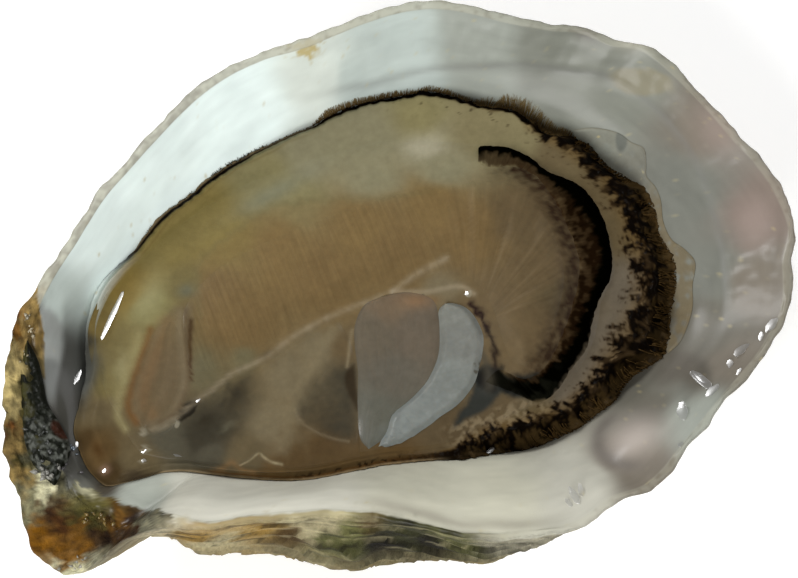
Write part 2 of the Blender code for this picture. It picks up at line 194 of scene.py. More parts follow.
# %% Colours and washes
def patch(plan, outline, soft=0.3):
    """1 inside a closed outline on the plan, fading over a soft width at its edge."""
    line = curve(outline + outline[:1], 120)
    inside = np.zeros(len(plan), bool)
    for (x0, y0), (x1, y1) in zip(line, line[1:]):
        crosses = (y0 > plan[:, 1]) != (y1 > plan[:, 1])
        inside ^= crosses & (plan[:, 0] < x0 + (plan[:, 1] - y0) * (x1 - x0) / (y1 - y0 + 1e-9))
    far = distance(plan, line)[0]
    return smooth(np.where(inside, far, -far), -soft, soft)


def stroke(plan, line, first, last=None):
    """A soft stroke along a line, from its first half-width to its last."""
    far, share = distance(plan, line)
    return bell(far, 0, first + ((last or first) - first) * share)


def tone(red, green, blue):
    """A screen colour (0 to 255) as linear light."""
    screen = np.array([red, green, blue]) / 255
    return np.where(screen <= 0.04045, screen / 12.92, ((screen + 0.055) / 1.055) ** 2.4)


def ground(points, washes):
    """Blend washes of (x, y, reach, colour) so that each rules near its own place."""
    total, weight = np.zeros((len(points), 3)), np.zeros(len(points))
    for x, y, reach, colour in washes:
        d = np.hypot(points[:, 0] - x, points[:, 1] - y) / reach
        w = 1 / (d ** 4 + 0.02)
        total += w[:, None] * colour
        weight += w
    return total / weight[:, None]


def lay(paint, colour, amount):
    """Lay a colour over the paint, as thickly as amount (0 to 1) says."""
    amount = np.clip(amount, 0, 1)[:, None]
    return paint * (1 - amount) + np.asarray(colour) * amount


def lay_coats(paint, *coats):
    """Lay coats of (colour, amount) over the paint, one after the other."""
    for colour, amount in coats:
        paint = lay(paint, colour, amount)
    return paint


print("a middle grey of the screen, as linear light:", tone(128, 128, 128).round(3))

# %% [markdown]
# ## Making a piece
# Almost every piece here is a closed, rounded thing, so each starts as a grid that is
# rolled to a ball and welded along its seam and at its poles. Its rows and columns are then
# laid along the piece's own form by a function: row 0 is one pole, the last row the other.
# That keeps every mesh closed, with even faces, whatever the form is. The function also
# returns the paint and any other values that the material reads.

# %% Forming a ball or a ring from a grid
WELD = 1e-5


def rolled_grid(rows, columns, roll):
    """A grid whose points are moved by roll(up, round), both from 0 to 1, then welded."""
    bm = bmesh.new()
    bmesh.ops.create_grid(bm, x_segments=columns, y_segments=rows, size=0.5)
    flat = np.array([v.co for v in bm.verts]) + 0.5
    for vert, place in zip(bm.verts, roll(flat[:, 1], flat[:, 0])):
        vert.co = place
    bmesh.ops.remove_doubles(bm, verts=bm.verts, dist=WELD)
    return bm


def ball(up, round_it):
    a, b = 2 * pi * round_it, pi * up
    return np.stack([np.sin(b) * np.cos(a), np.sin(b) * np.sin(a), -np.cos(b)], 1)


def rows_and_columns(bm, rows, columns):
    """The row and column of every vertex of a unit ball."""
    co = np.array([v.co for v in bm.verts])
    row = np.rint(np.arccos(np.clip(-co[:, 2], -1, 1)) * rows / pi).astype(int)
    column = np.rint(np.degrees(np.arctan2(co[:, 1], co[:, 0])) % 360 * columns / 360).astype(int)
    return row, column % columns


bm = rolled_grid(4, 8, ball)
print("points on a ball of 4 rows by 8 columns:", len(bm.verts))
bm.free()

# %% Turning a formed mesh into a piece
def as_piece(name, bm, points, paint=None, **values):
    """Put a formed mesh in the frame as an object, with its paint and values as attributes."""
    mesh = bpy.data.meshes.new(name)
    bm.to_mesh(mesh)
    bm.free()
    mesh.vertices.foreach_set("co", to_frame(points).astype(np.float32).ravel())
    if paint is not None:
        layer = mesh.color_attributes.new("paint", "FLOAT_COLOR", "POINT")
        rgba = np.concatenate([np.clip(paint, 0, 1), np.ones((len(points), 1))], 1)
        layer.data.foreach_set("color", rgba.astype(np.float32).ravel())
    for key, value in values.items():
        flat = value.ndim == 1
        layer = mesh.attributes.new(key, "FLOAT" if flat else "FLOAT_VECTOR", "POINT")
        layer.data.foreach_set("value" if flat else "vector", value.astype(np.float32).ravel())
    face_out(mesh)
    mesh.shade_smooth()
    piece = bpy.data.objects.new(name, mesh)
    bpy.context.scene.collection.objects.link(piece)
    print(f"{name}: {len(mesh.vertices)} vertices, {len(mesh.polygons)} faces")
    return piece


def joined(points, faces):
    """A bmesh from lists of points and faces, for many small things at once."""
    mesh = bpy.data.meshes.new("joined")
    mesh.from_pydata(points.tolist(), [], faces)
    bm = bmesh.new()
    bm.from_mesh(mesh)
    bpy.data.meshes.remove(mesh)
    return bm


def copies(faces, size, count):
    """The faces of one small thing with size points, repeated for a count of them."""
    return [[corner + i * size for corner in face] for i in range(count) for face in faces]


def face_out(mesh):
    """Turn every face outwards: a closed mesh that faces out has a positive volume."""
    bm = bmesh.new()
    bm.from_mesh(mesh)
    bmesh.ops.recalc_face_normals(bm, faces=bm.faces)
    if bm.calc_volume(signed=True) < 0:
        bmesh.ops.reverse_faces(bm, faces=bm.faces)
    bm.to_mesh(mesh)
    bm.free()


def form_ball(name, rows, columns, form):
    """A closed piece: form(row, column) gives points in millimetres and named values."""
    bm = rolled_grid(rows, columns, ball)
    points, values = form(*rows_and_columns(bm, rows, columns))
    return as_piece(name, bm, points, **values)


def settle(piece, finish, slot, *nodes):
    """Give a piece its material, its body and the solids that it stands for; its slot is not used."""
    piece.data.materials.append(finish)
    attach(piece, "root")
    for node in nodes:
        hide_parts(node)
    return piece


# %% [markdown]
# ## Shader sums
# Material maths reads best as plain sums. This small class wraps a node's output, so that
# `1 - mask` or `grain * 0.3` adds the Math nodes by itself. Every other node comes from
# one method that takes its type, its settings and what goes into its sockets.

# %% A material written as sums
class Wire:
    def __init__(self, finish, socket):
        self.finish, self.socket = finish, socket

    def sum(self, operation, a, b):
        return self.finish.node("Math", {"operation": operation}, {0: a, 1: b})

    def __add__(self, other):
        return self.sum("ADD", self, other)

    def __sub__(self, other):
        return self.sum("SUBTRACT", self, other)

    def __rsub__(self, other):
        return self.sum("SUBTRACT", other, self)

    def __mul__(self, other):
        return self.sum("MULTIPLY", self, other)

    def __pow__(self, other):
        return self.sum("POWER", self, other)

    __radd__, __rmul__ = __add__, __mul__


class Finish:
    """A material on one Principled shader. Constants are set on the shader's own sockets."""

    def __init__(self, name, **constants):
        self.material = bpy.data.materials.new(name)
        self.material.use_nodes = True
        self.tree = self.material.node_tree
        self.shader = self.tree.nodes["Principled BSDF"]
        for key, value in constants.items():
            self.shader.inputs[key.replace("_", " ")].default_value = value

    def node(self, kind, settings=None, sockets=None, output=0):
        made = self.tree.nodes.new("ShaderNode" + kind)
        for key, value in (settings or {}).items():
            setattr(made, key, value)
        for key, value in (sockets or {}).items():
            self.feed(made.inputs[key], value)
        return Wire(self, made.outputs[output])

    def feed(self, socket, value):
        if isinstance(value, Wire):
            self.tree.links.new(value.socket, socket)
        else:
            socket.default_value = value

    def attribute(self, name, output="Color"):
        return self.node("Attribute", {"attribute_name": name}, output=output)

    def place(self, stretch=(1, 1, 1)):
        """Object coordinates in millimetres, stretched along each axis."""
        where = self.node("TexCoord", output="Object")
        scale = tuple(s / MM for s in stretch)
        return self.node("Mapping", {"vector_type": "POINT"}, {"Vector": where, "Scale": scale})

    def grain(self, vector, size, detail=3.0, rough=0.55, twist=0.0):
        """Noise from 0 to 1 with features of the given size, in the vector's own units."""
        return self.node("TexNoise", {"noise_dimensions": "3D"},
                         {"Vector": vector, "Scale": 1 / size, "Detail": detail, "Roughness": rough,
                          "Distortion": twist})

    def mix(self, a, b, factor, blend="MIX"):
        return self.node("Mix", {"data_type": "RGBA", "blend_type": blend}, {0: factor, 6: a, 7: b}, 2)

    def ranged(self, value, low, high, to_low=0.0, to_high=1.0):
        return self.node("MapRange", {"interpolation_type": "SMOOTHSTEP"},
                         {"Value": value, "From Min": low, "From Max": high, "To Min": to_low,
                          "To Max": to_high})

    def bump(self, height, strength, reach):
        return self.node("Bump", None, {"Height": height, "Strength": strength, "Distance": reach * MM})

    def done(self, **links):
        for key, value in links.items():
            self.feed(self.shader.inputs[key.replace("_", " ")], value)
        return self.material


# %% [markdown]
# ## The table, the light and the camera
# Fresh oysters are shown on white under broad, even light. One large soft light stands
# to the left of the camera, a weaker one fills from the right, and a pale surround lifts
# the shadows. A smaller lamp at the back left puts the bright points on what is wet. The
# camera looks down steeply, a little from the hinge side.

# %% Floor
FLOOR_SIZE = 2.0
bm = bmesh.new()
bmesh.ops.create_grid(bm, x_segments=1, y_segments=1, size=FLOOR_SIZE / 2)
mesh = bpy.data.meshes.new("floor")
bm.to_mesh(mesh)
bm.free()
floor = bpy.data.objects.new("floor", mesh)
bpy.context.scene.collection.objects.link(floor)
paper = Finish("floor_paper", Roughness=0.9, Emission_Strength=0.22, Emission_Color=(1, 1, 1, 1))
tooth = paper.grain(paper.place(), 1.5)
mesh.materials.append(paper.done(Base_Color=paper.mix((0.93, 0.93, 0.93, 1), (0.96, 0.96, 0.96, 1), tooth)))
print("floor's side, m:", FLOOR_SIZE)

# %% Lights
LIGHT_AIM = Vector((0, 0, 0.01))


def soft_light(name, place, size, power):
    """A round area light that faces the oyster, with its size in metres and power in watts."""
    lamp = bpy.data.lights.new(name, "AREA")
    lamp.shape = "DISK"
    lamp.size, lamp.energy = size, power
    thing = bpy.data.objects.new(name, lamp)
    thing.location = place
    thing.rotation_euler = (LIGHT_AIM - Vector(place)).to_track_quat("-Z", "Y").to_euler()
    bpy.context.scene.collection.objects.link(thing)


soft_light("key_light", (-0.42, -0.42, 0.50), 0.45, 6.0)
soft_light("fill_light", (0.62, 0.00, 0.42), 0.50, 2.4)
soft_light("back_light", (-0.30, 0.54, 0.46), 0.24, 3.4)
world = bpy.data.worlds.new("surround")
world.use_nodes = True
world.node_tree.nodes["Background"].inputs["Color"].default_value = (1.0, 1.0, 1.0, 1)
world.node_tree.nodes["Background"].inputs["Strength"].default_value = 0.18
bpy.context.scene.world = world
bpy.context.scene.view_settings.view_transform = "Standard"

# %% Camera
CAMERA_AZIMUTH, CAMERA_HEIGHT = radians(-18), radians(72)
CAMERA_DISTANCE = 0.36
CAMERA_TARGET = Vector(to_frame((2.05, 2.45, 18.0)))
VIEW_WIDTH = 0.0985          # what the picture spans at the target
lens = bpy.data.cameras.new("camera")
lens.sensor_width = 36
lens.lens = lens.sensor_width * CAMERA_DISTANCE / VIEW_WIDTH
flat_part = cos(CAMERA_HEIGHT)
back = Vector((sin(CAMERA_AZIMUTH) * flat_part, -cos(CAMERA_AZIMUTH) * flat_part, sin(CAMERA_HEIGHT)))
camera = bpy.data.objects.new("camera", lens)
camera.location = CAMERA_TARGET + back * CAMERA_DISTANCE
camera.rotation_euler = back.to_track_quat("Z", "Y").to_euler()
lens.clip_start = 0.01
bpy.context.scene.collection.objects.link(camera)
bpy.context.scene.camera = camera
print("camera lens, mm:", round(lens.lens, 1))

# %% [markdown]
# ## The valve's form
# A cupped oyster's lower valve grows in layers: every season adds a sheet of shell that
# juts past the last, so the outside is a stack of ledges crossed by a few broad folds. The
# inside is smooth nacre. One closed skin gives both. Round each column of that skin a
# profile runs from the foot, up the ledges, over the rim's edge and down into the cup.

# %% Knots round the valve: (angle, radius, height) of the rim, then single values
RIM = [
    (3, 49.3, 23.7), (8, 48, 24), (18, 46.8, 24.2), (27, 46, 24.5), (32, 43.7, 24.6), (37, 42.7, 25),
    (42, 40.8, 25.3), (50, 39.2, 25.6), (62, 38.5, 26.3), (68, 37.7, 26.5), (76, 36.1, 26.8),
    (84, 34.7, 27), (91, 34, 27.2), (100, 34.5, 27.4), (110, 34.9, 27.5), (125, 35.2, 27.3),
    (134, 36, 27), (143, 37.6, 26.6), (152, 39.4, 26), (160, 42.5, 25), (168, 46, 23.5), (175, 48, 21),
    (182, 49.4, 19), (187, 50.6, 18.5), (190, 50.3, 18), (193, 51.5, 17.5), (197, 52, 16.6),
    (199.4, 51.5, 16), (201.6, 50.8, 16), (203, 48.8, 16.4), (203.5, 46.5, 17.2), (203.8, 44.8, 18.2),
    (204.4, 43, 19.6), (205.4, 41.8, 21), (206.6, 40.6, 22), (209, 38.8, 23.4), (215, 36.3, 24.5),
    (221, 33, 24.8), (229, 30.2, 25), (238, 28.4, 25.1), (249, 27.9, 25.2), (260, 29.5, 25.2),
    (270, 32, 25.1), (279, 33.8, 25), (291, 36.7, 24.6), (298, 37.2, 24.5), (305, 39.5, 24.3),
    (313, 40.4, 24.2), (320, 41.5, 24), (327, 43.5, 23.8), (335, 46.7, 23.7), (342, 48.8, 23.6),
    (347, 49.1, 23.5), (353, 50.7, 23.5), (358, 50.3, 23.5),
]
RIM_TOP = [
    (0, 1), (150, 1.1), (165, 2), (176, 3.6), (184, 5), (192, 6.4), (199, 8.6), (203, 6.5), (206, 2.4),
    (215, 1.2), (240, 0.9), (300, 0.9),
]
RIM_RISE = [(0, 0.1), (150, 0.1), (172, 0.6), (186, 1.4), (198, 2.6), (204, 2.2), (212, 0.2), (300, 0.1)]
SHELF_PLACE = [
    (0, 0.50), (30, 0.53), (60, 0.45), (100, 0.5), (180, 0.5), (240, 0.55), (300, 0.5), (335, 0.5),
]
SHELF_RISE = [
    (0, 0.42), (30, 0.44), (60, 0.46), (120, 0.50), (180, 0.6), (225, 0.80), (270, 0.76), (300, 0.6),
    (335, 0.45),
]
WALL_SLANT = [
    (0, 0.80), (40, 0.70), (90, 0.62), (140, 0.50), (180, 0.35), (200, 0.20), (208, 0.05), (250, 0.05),
    (275, 0.35), (310, 0.65),
]
BELLY = [
    (0, 0), (60, 0), (110, -0.6), (160, -0.5), (190, -1), (199, -2.6), (203.5, -4), (206, -2.6),
    (209, 0.4), (214, 3), (226, 4.6), (240, 4.9), (252, 4.3), (265, 4.3), (272, 4.2), (280, 2.6),
    (288, 0.9), (300, 0.2), (320, 0),
]
MANTLE_EDGE = [
    (0, 35.8), (15, 36.6), (30, 34), (45, 31.4), (60, 29.8), (75, 28.3), (90, 26.8), (105, 26.4),
    (120, 27.4), (135, 29.6), (150, 32.7), (165, 37), (180, 39.4), (190, 41), (194.5, 40.2),
    (197, 36.8), (199, 33.5), (202, 31.2), (206, 29.3), (210, 27.8), (217, 25.5), (225, 23.4),
    (240, 20), (255, 18.8), (270, 19.4), (285, 21.9), (300, 25.9), (315, 28.9), (330, 33.2),
    (345, 36.6),
]
BILL_SHELF = [
    (2, 42), (8, 42.3), (16, 42.1), (22, 41.7), (29, 40.4), (36, 37.8), (44, 35.6), (52, 33.4),
    (61, 31.9), (79, 29.4), (100, 28.6), (345, 41.3),
]
FLOOR_THICKNESS = 3.6
MANTLE_LINE = 18.4           # height of the nacre under the mantle's edge
FOOT, FOOT_CENTRE = (17.0, 10.0), (-1.2, -2.8)
FOLDS, FOLD_DEPTH = 9, 0.9
LAYERS, LAYER_STEP = 15, 0.85
print("rim, mm: nearest", min(k[1] for k in RIM), "and furthest", max(k[1] for k in RIM))

# %% Where the valve's rows lie
COLUMNS = 600
FOOT_ROWS, WALL_ROWS, RIM_ROWS, CUP_ROWS = 4, 80, 14, 60
ROWS = FOOT_ROWS + WALL_ROWS + RIM_ROWS + CUP_ROWS


def rim_angles(count):
    """Angles that space columns evenly along the rim."""
    angle = np.linspace(0, 360, 2881)
    steps = np.diff(on_plan(angle, around(RIM, angle)), axis=0)
    run = np.concatenate([[0], np.cumsum(np.hypot(*steps.T))])
    return np.interp(np.arange(count) * run[-1] / count, run, angle)


print("rows on the foot, wall, rim and cup:", (FOOT_ROWS, WALL_ROWS, RIM_ROWS, CUP_ROWS))

# %% Profiles of the outer wall and of the cup
def through(profile, share):
    """Read rows of profile points (point, column, radius and height) at shares of their spacing."""
    place = np.clip(share, 0, 1)[:, None] * (len(profile) - 1)
    i = np.minimum(place.astype(int), len(profile) - 2)[:, 0]
    t = (place[:, 0] - i)[:, None, None]
    a, b = profile[np.maximum(i - 1, 0)], profile[i]
    c, d = profile[i + 1], profile[np.minimum(i + 2, len(profile) - 1)]
    return 0.5 * (2 * b + (c - a) * t + (2 * a - 5 * b + 4 * c - d) * t * t
                  + (3 * b - a - 3 * c + d) * t ** 3)


def wall_points(angle, share):
    """Radius and height up the outer wall, from the foot's border to the rim."""
    a, s = np.radians(angle)[None, :], share[:, None]
    foot = 1 / np.hypot(np.cos(a) / FOOT[0], np.sin(a) / FOOT[1])
    foot = foot + FOOT_CENTRE[0] * np.cos(a) + FOOT_CENTRE[1] * np.sin(a)
    rim, top = around(RIM, angle)[None, :], around(RIM, angle, 2)[None, :]
    slant, turn = around(WALL_SLANT, angle)[None, :], s * pi / 2
    radius = foot + (rim - foot) * ((1 - slant) * np.sin(turn) + slant * s)
    height = top * ((1 - slant) * (1 - np.cos(turn)) + slant * s ** 1.4)
    radius = radius + around(BELLY, angle)[None, :] * np.sin(pi * s ** 1.3) ** 2
    fade = np.sin(pi * s ** 2)
    return radius + FOLD_DEPTH * np.sin(a * FOLDS + 1.0) * fade, height


def cup_points(angle, share):
    """Radius and height from the rim's inner edge down the nacre to the cup's floor."""
    rim = around(RIM, angle) - around(RIM_TOP, angle)
    top = around(RIM, angle, 2) + around(RIM_RISE, angle)
    line = np.minimum(around(MANTLE_EDGE, angle) + 0.6, rim - 1.2)
    shelf = line + (rim - line) * around(SHELF_PLACE, angle)
    shelf_top = MANTLE_LINE + (top - MANTLE_LINE) * around(SHELF_RISE, angle)
    level = np.full_like(rim, MANTLE_LINE)
    radius = np.array([rim, shelf, line, line * 0.87, line * 0.68, line * 0.42, rim * 0])
    height = np.array([top, shelf_top, level, level * 0.70, level * 0.42,
                       level * 0 + FLOOR_THICKNESS + 1.2, level * 0 + FLOOR_THICKNESS])
    read = through(np.stack([radius, height], 2), share)
    return read[..., 0], read[..., 1]


# %% The smooth valve
def valve_grid():
    """Points of the smooth valve as a grid of rows and columns, and where on it each lies."""
    angle = rim_angles(COLUMNS)
    wall_r, wall_z = wall_points(angle, np.linspace(0, 1, WALL_ROWS + 1))
    foot = np.linspace(0, 1, FOOT_ROWS, endpoint=False)[:, None]
    cup_share = np.linspace(0, 1, CUP_ROWS + 1) ** 1.5
    cup_r, cup_z = cup_points(angle, cup_share)
    over = np.linspace(0, 1, RIM_ROWS + 1)[1:-1, None]
    rim_r = wall_r[-1] + (cup_r[0] - wall_r[-1]) * over
    rim_z = wall_z[-1] + (cup_z[0] - wall_z[-1]) * over + 0.18 * np.sin(pi * over)
    radius = np.vstack([wall_r[:1] * foot, wall_r, rim_r, cup_r])
    height = np.vstack([wall_z[:1] * foot, wall_z, rim_z, cup_z])
    side = np.concatenate([np.zeros(FOOT_ROWS), np.linspace(0, 1, WALL_ROWS + 1),
                           np.linspace(1, 2, RIM_ROWS + 1)[1:-1], 2 + cup_share])
    return angle, radius, height, side


valve_angle, valve_radius, valve_height, valve_side = valve_grid()
print("valve grid:", valve_radius.shape, "rows by columns")

# %% [markdown]
# ## Growth, wear and pearl
# Each ledge of the outer wall is one season's shell, with a broken, wavering edge. The rim is
# chipped where the knife went in, and most of all along the hinge plate, where the two
# valves were torn apart. Inside, the pearl only swells softly, apart from a low step that
# follows the bill, where the newest shell is still chalky. The wall and the rim move
# outwards for their relief, the cup's surface moves up and down.

# %% Relief on the valve's grid
PLATE_START, PLATE_END = 158, 203            # angles between which the rim is the torn hinge plate


def grid_points(angle, radius, height):
    return np.dstack([on_plan(angle, radius), height])


def plate_share(angle):
    """1 along the hinge plate and 0 on the rest of the rim."""
    return window(angle, PLATE_START, PLATE_START + 12, PLATE_END - 2, PLATE_END + 4)


def carve_valve():
    """Lay the ledges, chips and swellings on the smooth valve."""
    side = np.repeat(valve_side[:, None], COLUMNS, 1)
    flat = grid_points(valve_angle, valve_radius, valve_height).reshape(-1, 3)

    def relief(size, seed, octaves=1):
        return fuzz(flat, size, seed, octaves).reshape(side.shape)

    waver, broken, fine = relief(14, 1), relief(3.2, 2), relief(1.3, 3)
    phase = side * LAYERS + 1.3 * waver + 0.25 * broken
    layer = np.floor(phase)
    sized = 0.55 + 0.75 * np.abs(np.sin(layer * 2.4 + 3 * waver))
    ledge = LAYER_STEP * ((phase - layer) ** 1.6 - 0.4) * sized + 0.18 * broken + 0.10 * fine
    on_wall = (side > 0) & (side < 1)
    radius = valve_radius + np.where(on_wall, ledge * np.sin(pi * np.clip(side, 0, 1) ** 1.6), 0)
    near_rim = window(side, 0.90, 1.0, 1.5, 2.15)
    torn = plate_share(valve_angle)
    radius += near_rim * (0.28 * broken + 0.10 * fine) * (1 + 1.2 * torn)
    height = valve_height + near_rim * (0.10 * fine - 0.14 * broken) * (1 - torn)
    crust = 0.7 * relief(3.4, 5, 2) + 0.3 * relief(0.9, 4, 2)
    height += torn * window(side, 0.93, 1.1, 2.02, 2.12) * (1.1 * crust + 0.15 * fine - 0.2)
    swelling = cup_relief(on_plan(valve_angle, radius).reshape(-1, 2)).reshape(side.shape)
    return radius, height + smooth(side, 2.0, 2.08) * swelling


BLISTER = (22.4, -25.6, 4.0, 2.7, 15)        # its place, half-axes and turn
BLISTER_HEIGHT = 0.9


def cup_relief(plan):
    """What the nacre swells above its smooth form, and the chalky margin along the bill."""
    flat = at_level(plan)
    margin = bill_margin(plan) * (0.22 + 0.10 * fuzz(flat, 1.3, 3) + 0.08 * fuzz(flat, 3.2, 2))
    return 0.16 * fuzz(flat, 7, 6) + margin + BLISTER_HEIGHT * spot(plan, *BLISTER)


def along_bill(angle):
    """1 along the bill, where the shell is newest, fading out towards its ends."""
    return window((angle + 30) % 360, 5, 20, 105, 128)


def bill_margin(plan):
    """1 on the chalky margin outside the step that follows the bill."""
    angle, reach = polar(plan)
    step = around(BILL_SHELF, angle)
    return along_bill(angle) * smooth(reach, step, step + 0.5)


# %% Colours of the pearl, and the washes that lay them on the plan: (x, y, reach, colour)
FROST, MILK, ASH = tone(230, 243, 239), tone(210, 217, 208), tone(178, 188, 182)
PEWTER, STONE, SLATE = tone(144, 148, 139), tone(120, 122, 112), tone(108, 109, 101)
TAUPE, SHADE, PUTTY = tone(95, 92, 82), tone(83, 78, 69), tone(109, 102, 91)
CREAM, BUTTER, SHELL_PINK = tone(200, 198, 184), tone(190, 188, 170), tone(116, 104, 95)
# HINGE_EDGE_SHADE is painted shade on the nacre beside the flesh's edge by the hinge.
HINGE_GREY, HINGE_EDGE_SHADE = tone(108, 110, 107), tone(58, 52, 42)
# Some washes paint light and shade over the nacre's own tones: FROST on the top wall is partly painted light,
# and the darker greys towards the bill, down to SHADE, are partly painted shade.
PEARL = [
    (-38, 12, 3.5, ASH), (-30, 20, 5, FROST), (-20, 25, 6, FROST), (-10, 29, 6, FROST),
    (0, 30, 5, MILK), (12, 31, 5, ASH), (20, 30, 5, PEWTER), (29, 25, 4, STONE), (35, 20, 4, STONE),
    (-25, 20, 5, FROST), (5, 28.5, 4, ASH), (20, 25, 4, PEWTER), (32, 18, 5, STONE), (39, 3, 6, SLATE),
    (38, -8, 5, SLATE), (36, -14, 4, TAUPE), (32, -18.5, 2.5, SHADE), (26, -21.5, 2, TAUPE),
    (44, 9, 4, PUTTY), (46, -3, 4, SHELL_PINK), (43, -12, 4, PUTTY), (37, -20, 3, PUTTY),
    (30, -26, 3, PEWTER), (22, -30, 3, PUTTY), (-36, -14, 2.5, PEWTER), (-30, -17, 3, CREAM * 0.87),
    (-18, -20.5, 5, CREAM * 0.87), (-5, -25, 4, BUTTER * 0.92), (5, -28, 4, BUTTER),
    (14, -29, 4, CREAM * 0.76), (20, -27, 2.5, PUTTY), (-40, 10, 2.5, HINGE_GREY * 1.7),
    (-41.2, 6.6, 1.5, HINGE_GREY * 1.8), (-42, 4, 2, HINGE_GREY), (-41, -2, 2.5, HINGE_EDGE_SHADE),
    (-39, -11, 1.5, HINGE_EDGE_SHADE),
]
print("washes on the pearl:", len(PEARL))

# %% Colours and washes of the torn hinge plate, and where its brown runs on to the pearl
BROWN_BELOW = [
    (-43, -9.2), (-40.8, -11), (-38.6, -12.8), (-36.2, -14.6), (-34.2, -16.4), (-32.4, -18.2),
    (-35, -20), (-42, -21), (-50, -21), (-50, -12),
]
BROWN_ABOVE = [
    (-39.6, 15.4), (-40.4, 13.2), (-40.8, 10.8), (-41.2, 8.4), (-42.2, 5.4), (-42.9, 3), (-43.6, 0),
    (-44, -3), (-50, -3), (-49, 8), (-43.6, 16),
]
HORN, OCHRE, RUST = tone(150, 126, 84), tone(134, 92, 30), tone(96, 56, 20)
STRAW, MOSS, SOOT = tone(170, 154, 118), tone(62, 58, 30), tone(22, 20, 12)
FLINT, CHALKY, BRICK, AMBER_SHELL = tone(96, 94, 82), tone(172, 170, 160), tone(54, 30, 8), tone(116, 76, 4)
PLATE = [
    (-39.5, 15, 2, HORN), (-42.4, 12, 1.6, HORN * 0.7), (-44.6, 9.8, 1.5, OCHRE * 0.6),
    (-43.2, 9, 1.2, HORN * 0.5), (-45.8, 7.6, 1.4, STRAW * 0.62), (-46.6, 5, 1.5, STRAW * 1.2),
    (-48, 2, 1.2, STRAW * 0.7), (-47.2, 0, 1.3, HORN * 0.42), (-45.6, -1.8, 1.2, MOSS * 0.45),
    (-43.8, 12.4, 1.3, RUST), (-47, 8.2, 0.9, RUST), (-49, -0.8, 0.9, RUST * 1.2),
    (-48, -5, 1.1, MOSS * 0.8), (-46.4, 0.8, 1, MOSS), (-48.8, -3, 1.5, HORN * 0.5),
    (-44.5, 4, 1.2, MOSS * 0.6), (-46.2, -2, 1.3, MOSS * 0.6), (-46.3, -5, 1.4, FLINT * 0.8),
    (-49.2, -6.2, 1.3, HORN * 0.7), (-46.4, -8, 1.3, CHALKY * 1.4), (-48.4, -8.4, 1.1, FLINT * 1.5),
    (-43.6, -8.6, 1.2, FLINT * 0.6), (-48.6, -10.6, 1.1, FLINT * 1.4), (-46.6, -11.8, 1.1, BRICK),
    (-46, -13.4, 1.2, BRICK * 1.3), (-48.8, -14, 1.4, AMBER_SHELL),
    (-47.2, -16.4, 1.4, AMBER_SHELL * 0.85), (-44.4, -14.4, 1.4, OCHRE * 0.5),
    (-44.4, -16.6, 1.4, AMBER_SHELL * 0.8), (-43.2, -12.2, 1.4, MOSS * 1.6),
    (-41.4, -13.4, 1.3, MOSS * 1.5), (-41.6, -16.4, 1.6, BRICK * 0.45),
    (-39.4, -15.2, 1.2, OCHRE * 0.35), (-37.8, -16.6, 1.3, BRICK * 0.6),
    (-46, -19.4, 1.4, CHALKY * 1.5), (-48.4, -18.6, 1.1, CHALKY * 1.1),
    (-43.2, -18.8, 1.2, CHALKY * 0.55), (-41.4, -10.6, 1.1, CHALKY * 0.8), (-43, 1.5, 1.2, SOOT * 0.6),
    (-36, -17.8, 1.2, CHALKY * 0.25),
]
print("washes on the hinge plate:", len(PLATE))

# %% Colours and washes of the outer wall
BARK_PALE, BARK_GOLD, BARK_BROWN = tone(158, 149, 116), tone(136, 108, 52), tone(84, 62, 28)
BARK_GREEN, BARK_DARK, BARK_CREAM = tone(72, 72, 40), tone(18, 14, 6), tone(184, 176, 148)
BARK_GREY = tone(126, 122, 104)
BARK = [  # (half the angle, steps below the rim, reach, colour)
    (103, 1.5, 2.5, BARK_CREAM), (106.5, 3, 2.2, BARK_GOLD), (108.5, 5, 2.5, BARK_PALE),
    (111, 4, 2.2, BARK_GOLD), (113, 2.5, 2, BARK_GOLD * 0.6), (114.5, 5, 2.2, BARK_BROWN * 0.5),
    (115, 1.5, 2, BARK_PALE), (116.5, 4, 2, BARK_PALE * 0.9), (118.5, 1.8, 2, BARK_PALE),
    (119, 5, 2.2, BARK_GREEN), (121.5, 3, 2.2, BARK_GREEN * 1.8), (121.5, 6, 2.2, BARK_GREEN * 0.8),
    (123.5, 1.5, 1.6, BARK_GOLD * 0.2), (125, 5, 2.5, BARK_DARK * 0.7), (128, 3, 2.5, BARK_GREEN * 0.4),
    (131, 4, 2.2, BARK_DARK), (133, 2, 2.2, BARK_GREEN * 1.2), (135, 4, 2.2, BARK_GREEN),
    (137.5, 3, 2.5, BARK_GREY), (140, 3, 2.5, BARK_GREY * 1.2), (142.5, 2, 2.5, BARK_GREY * 1.5),
]
print("washes on the outer wall:", len(BARK))

# %% Colours of single marks on the valve
RIM_SKIN, CHALK, YELLOW_SCAR = tone(170, 168, 150), tone(196, 192, 176), tone(186, 172, 124)
OLIVE_STAIN, MAUVE, DENT = tone(128, 122, 100), tone(150, 134, 126), tone(96, 90, 84)
# NACRE_EDGE_SHADE is painted shade and reflection in the wet crevice between the flesh's edge and the nacre.
PINK_PEARL, GREY_LINE, NACRE_EDGE_SHADE = tone(158, 149, 141), tone(120, 120, 116), tone(54, 53, 48)
PALE_STREAK, SKIN_BROWN, SKIN_GREY = tone(122, 116, 104), tone(116, 106, 84), tone(132, 126, 112)
# Some flakes of the hinge plate are painted darker as shade and some brighter as highlight, by these factors.
PLATE_PAINTED_SHADE, PLATE_PAINTED_HIGHLIGHT = 0.30, 1.8         # a flake's shade beside the plate's own colour
PLATE_TINT, FLAKE_HIGHLIGHT_ADD = np.array([0.92, 0.90, 0.66]), np.array([0.030, 0.022, 0.010])


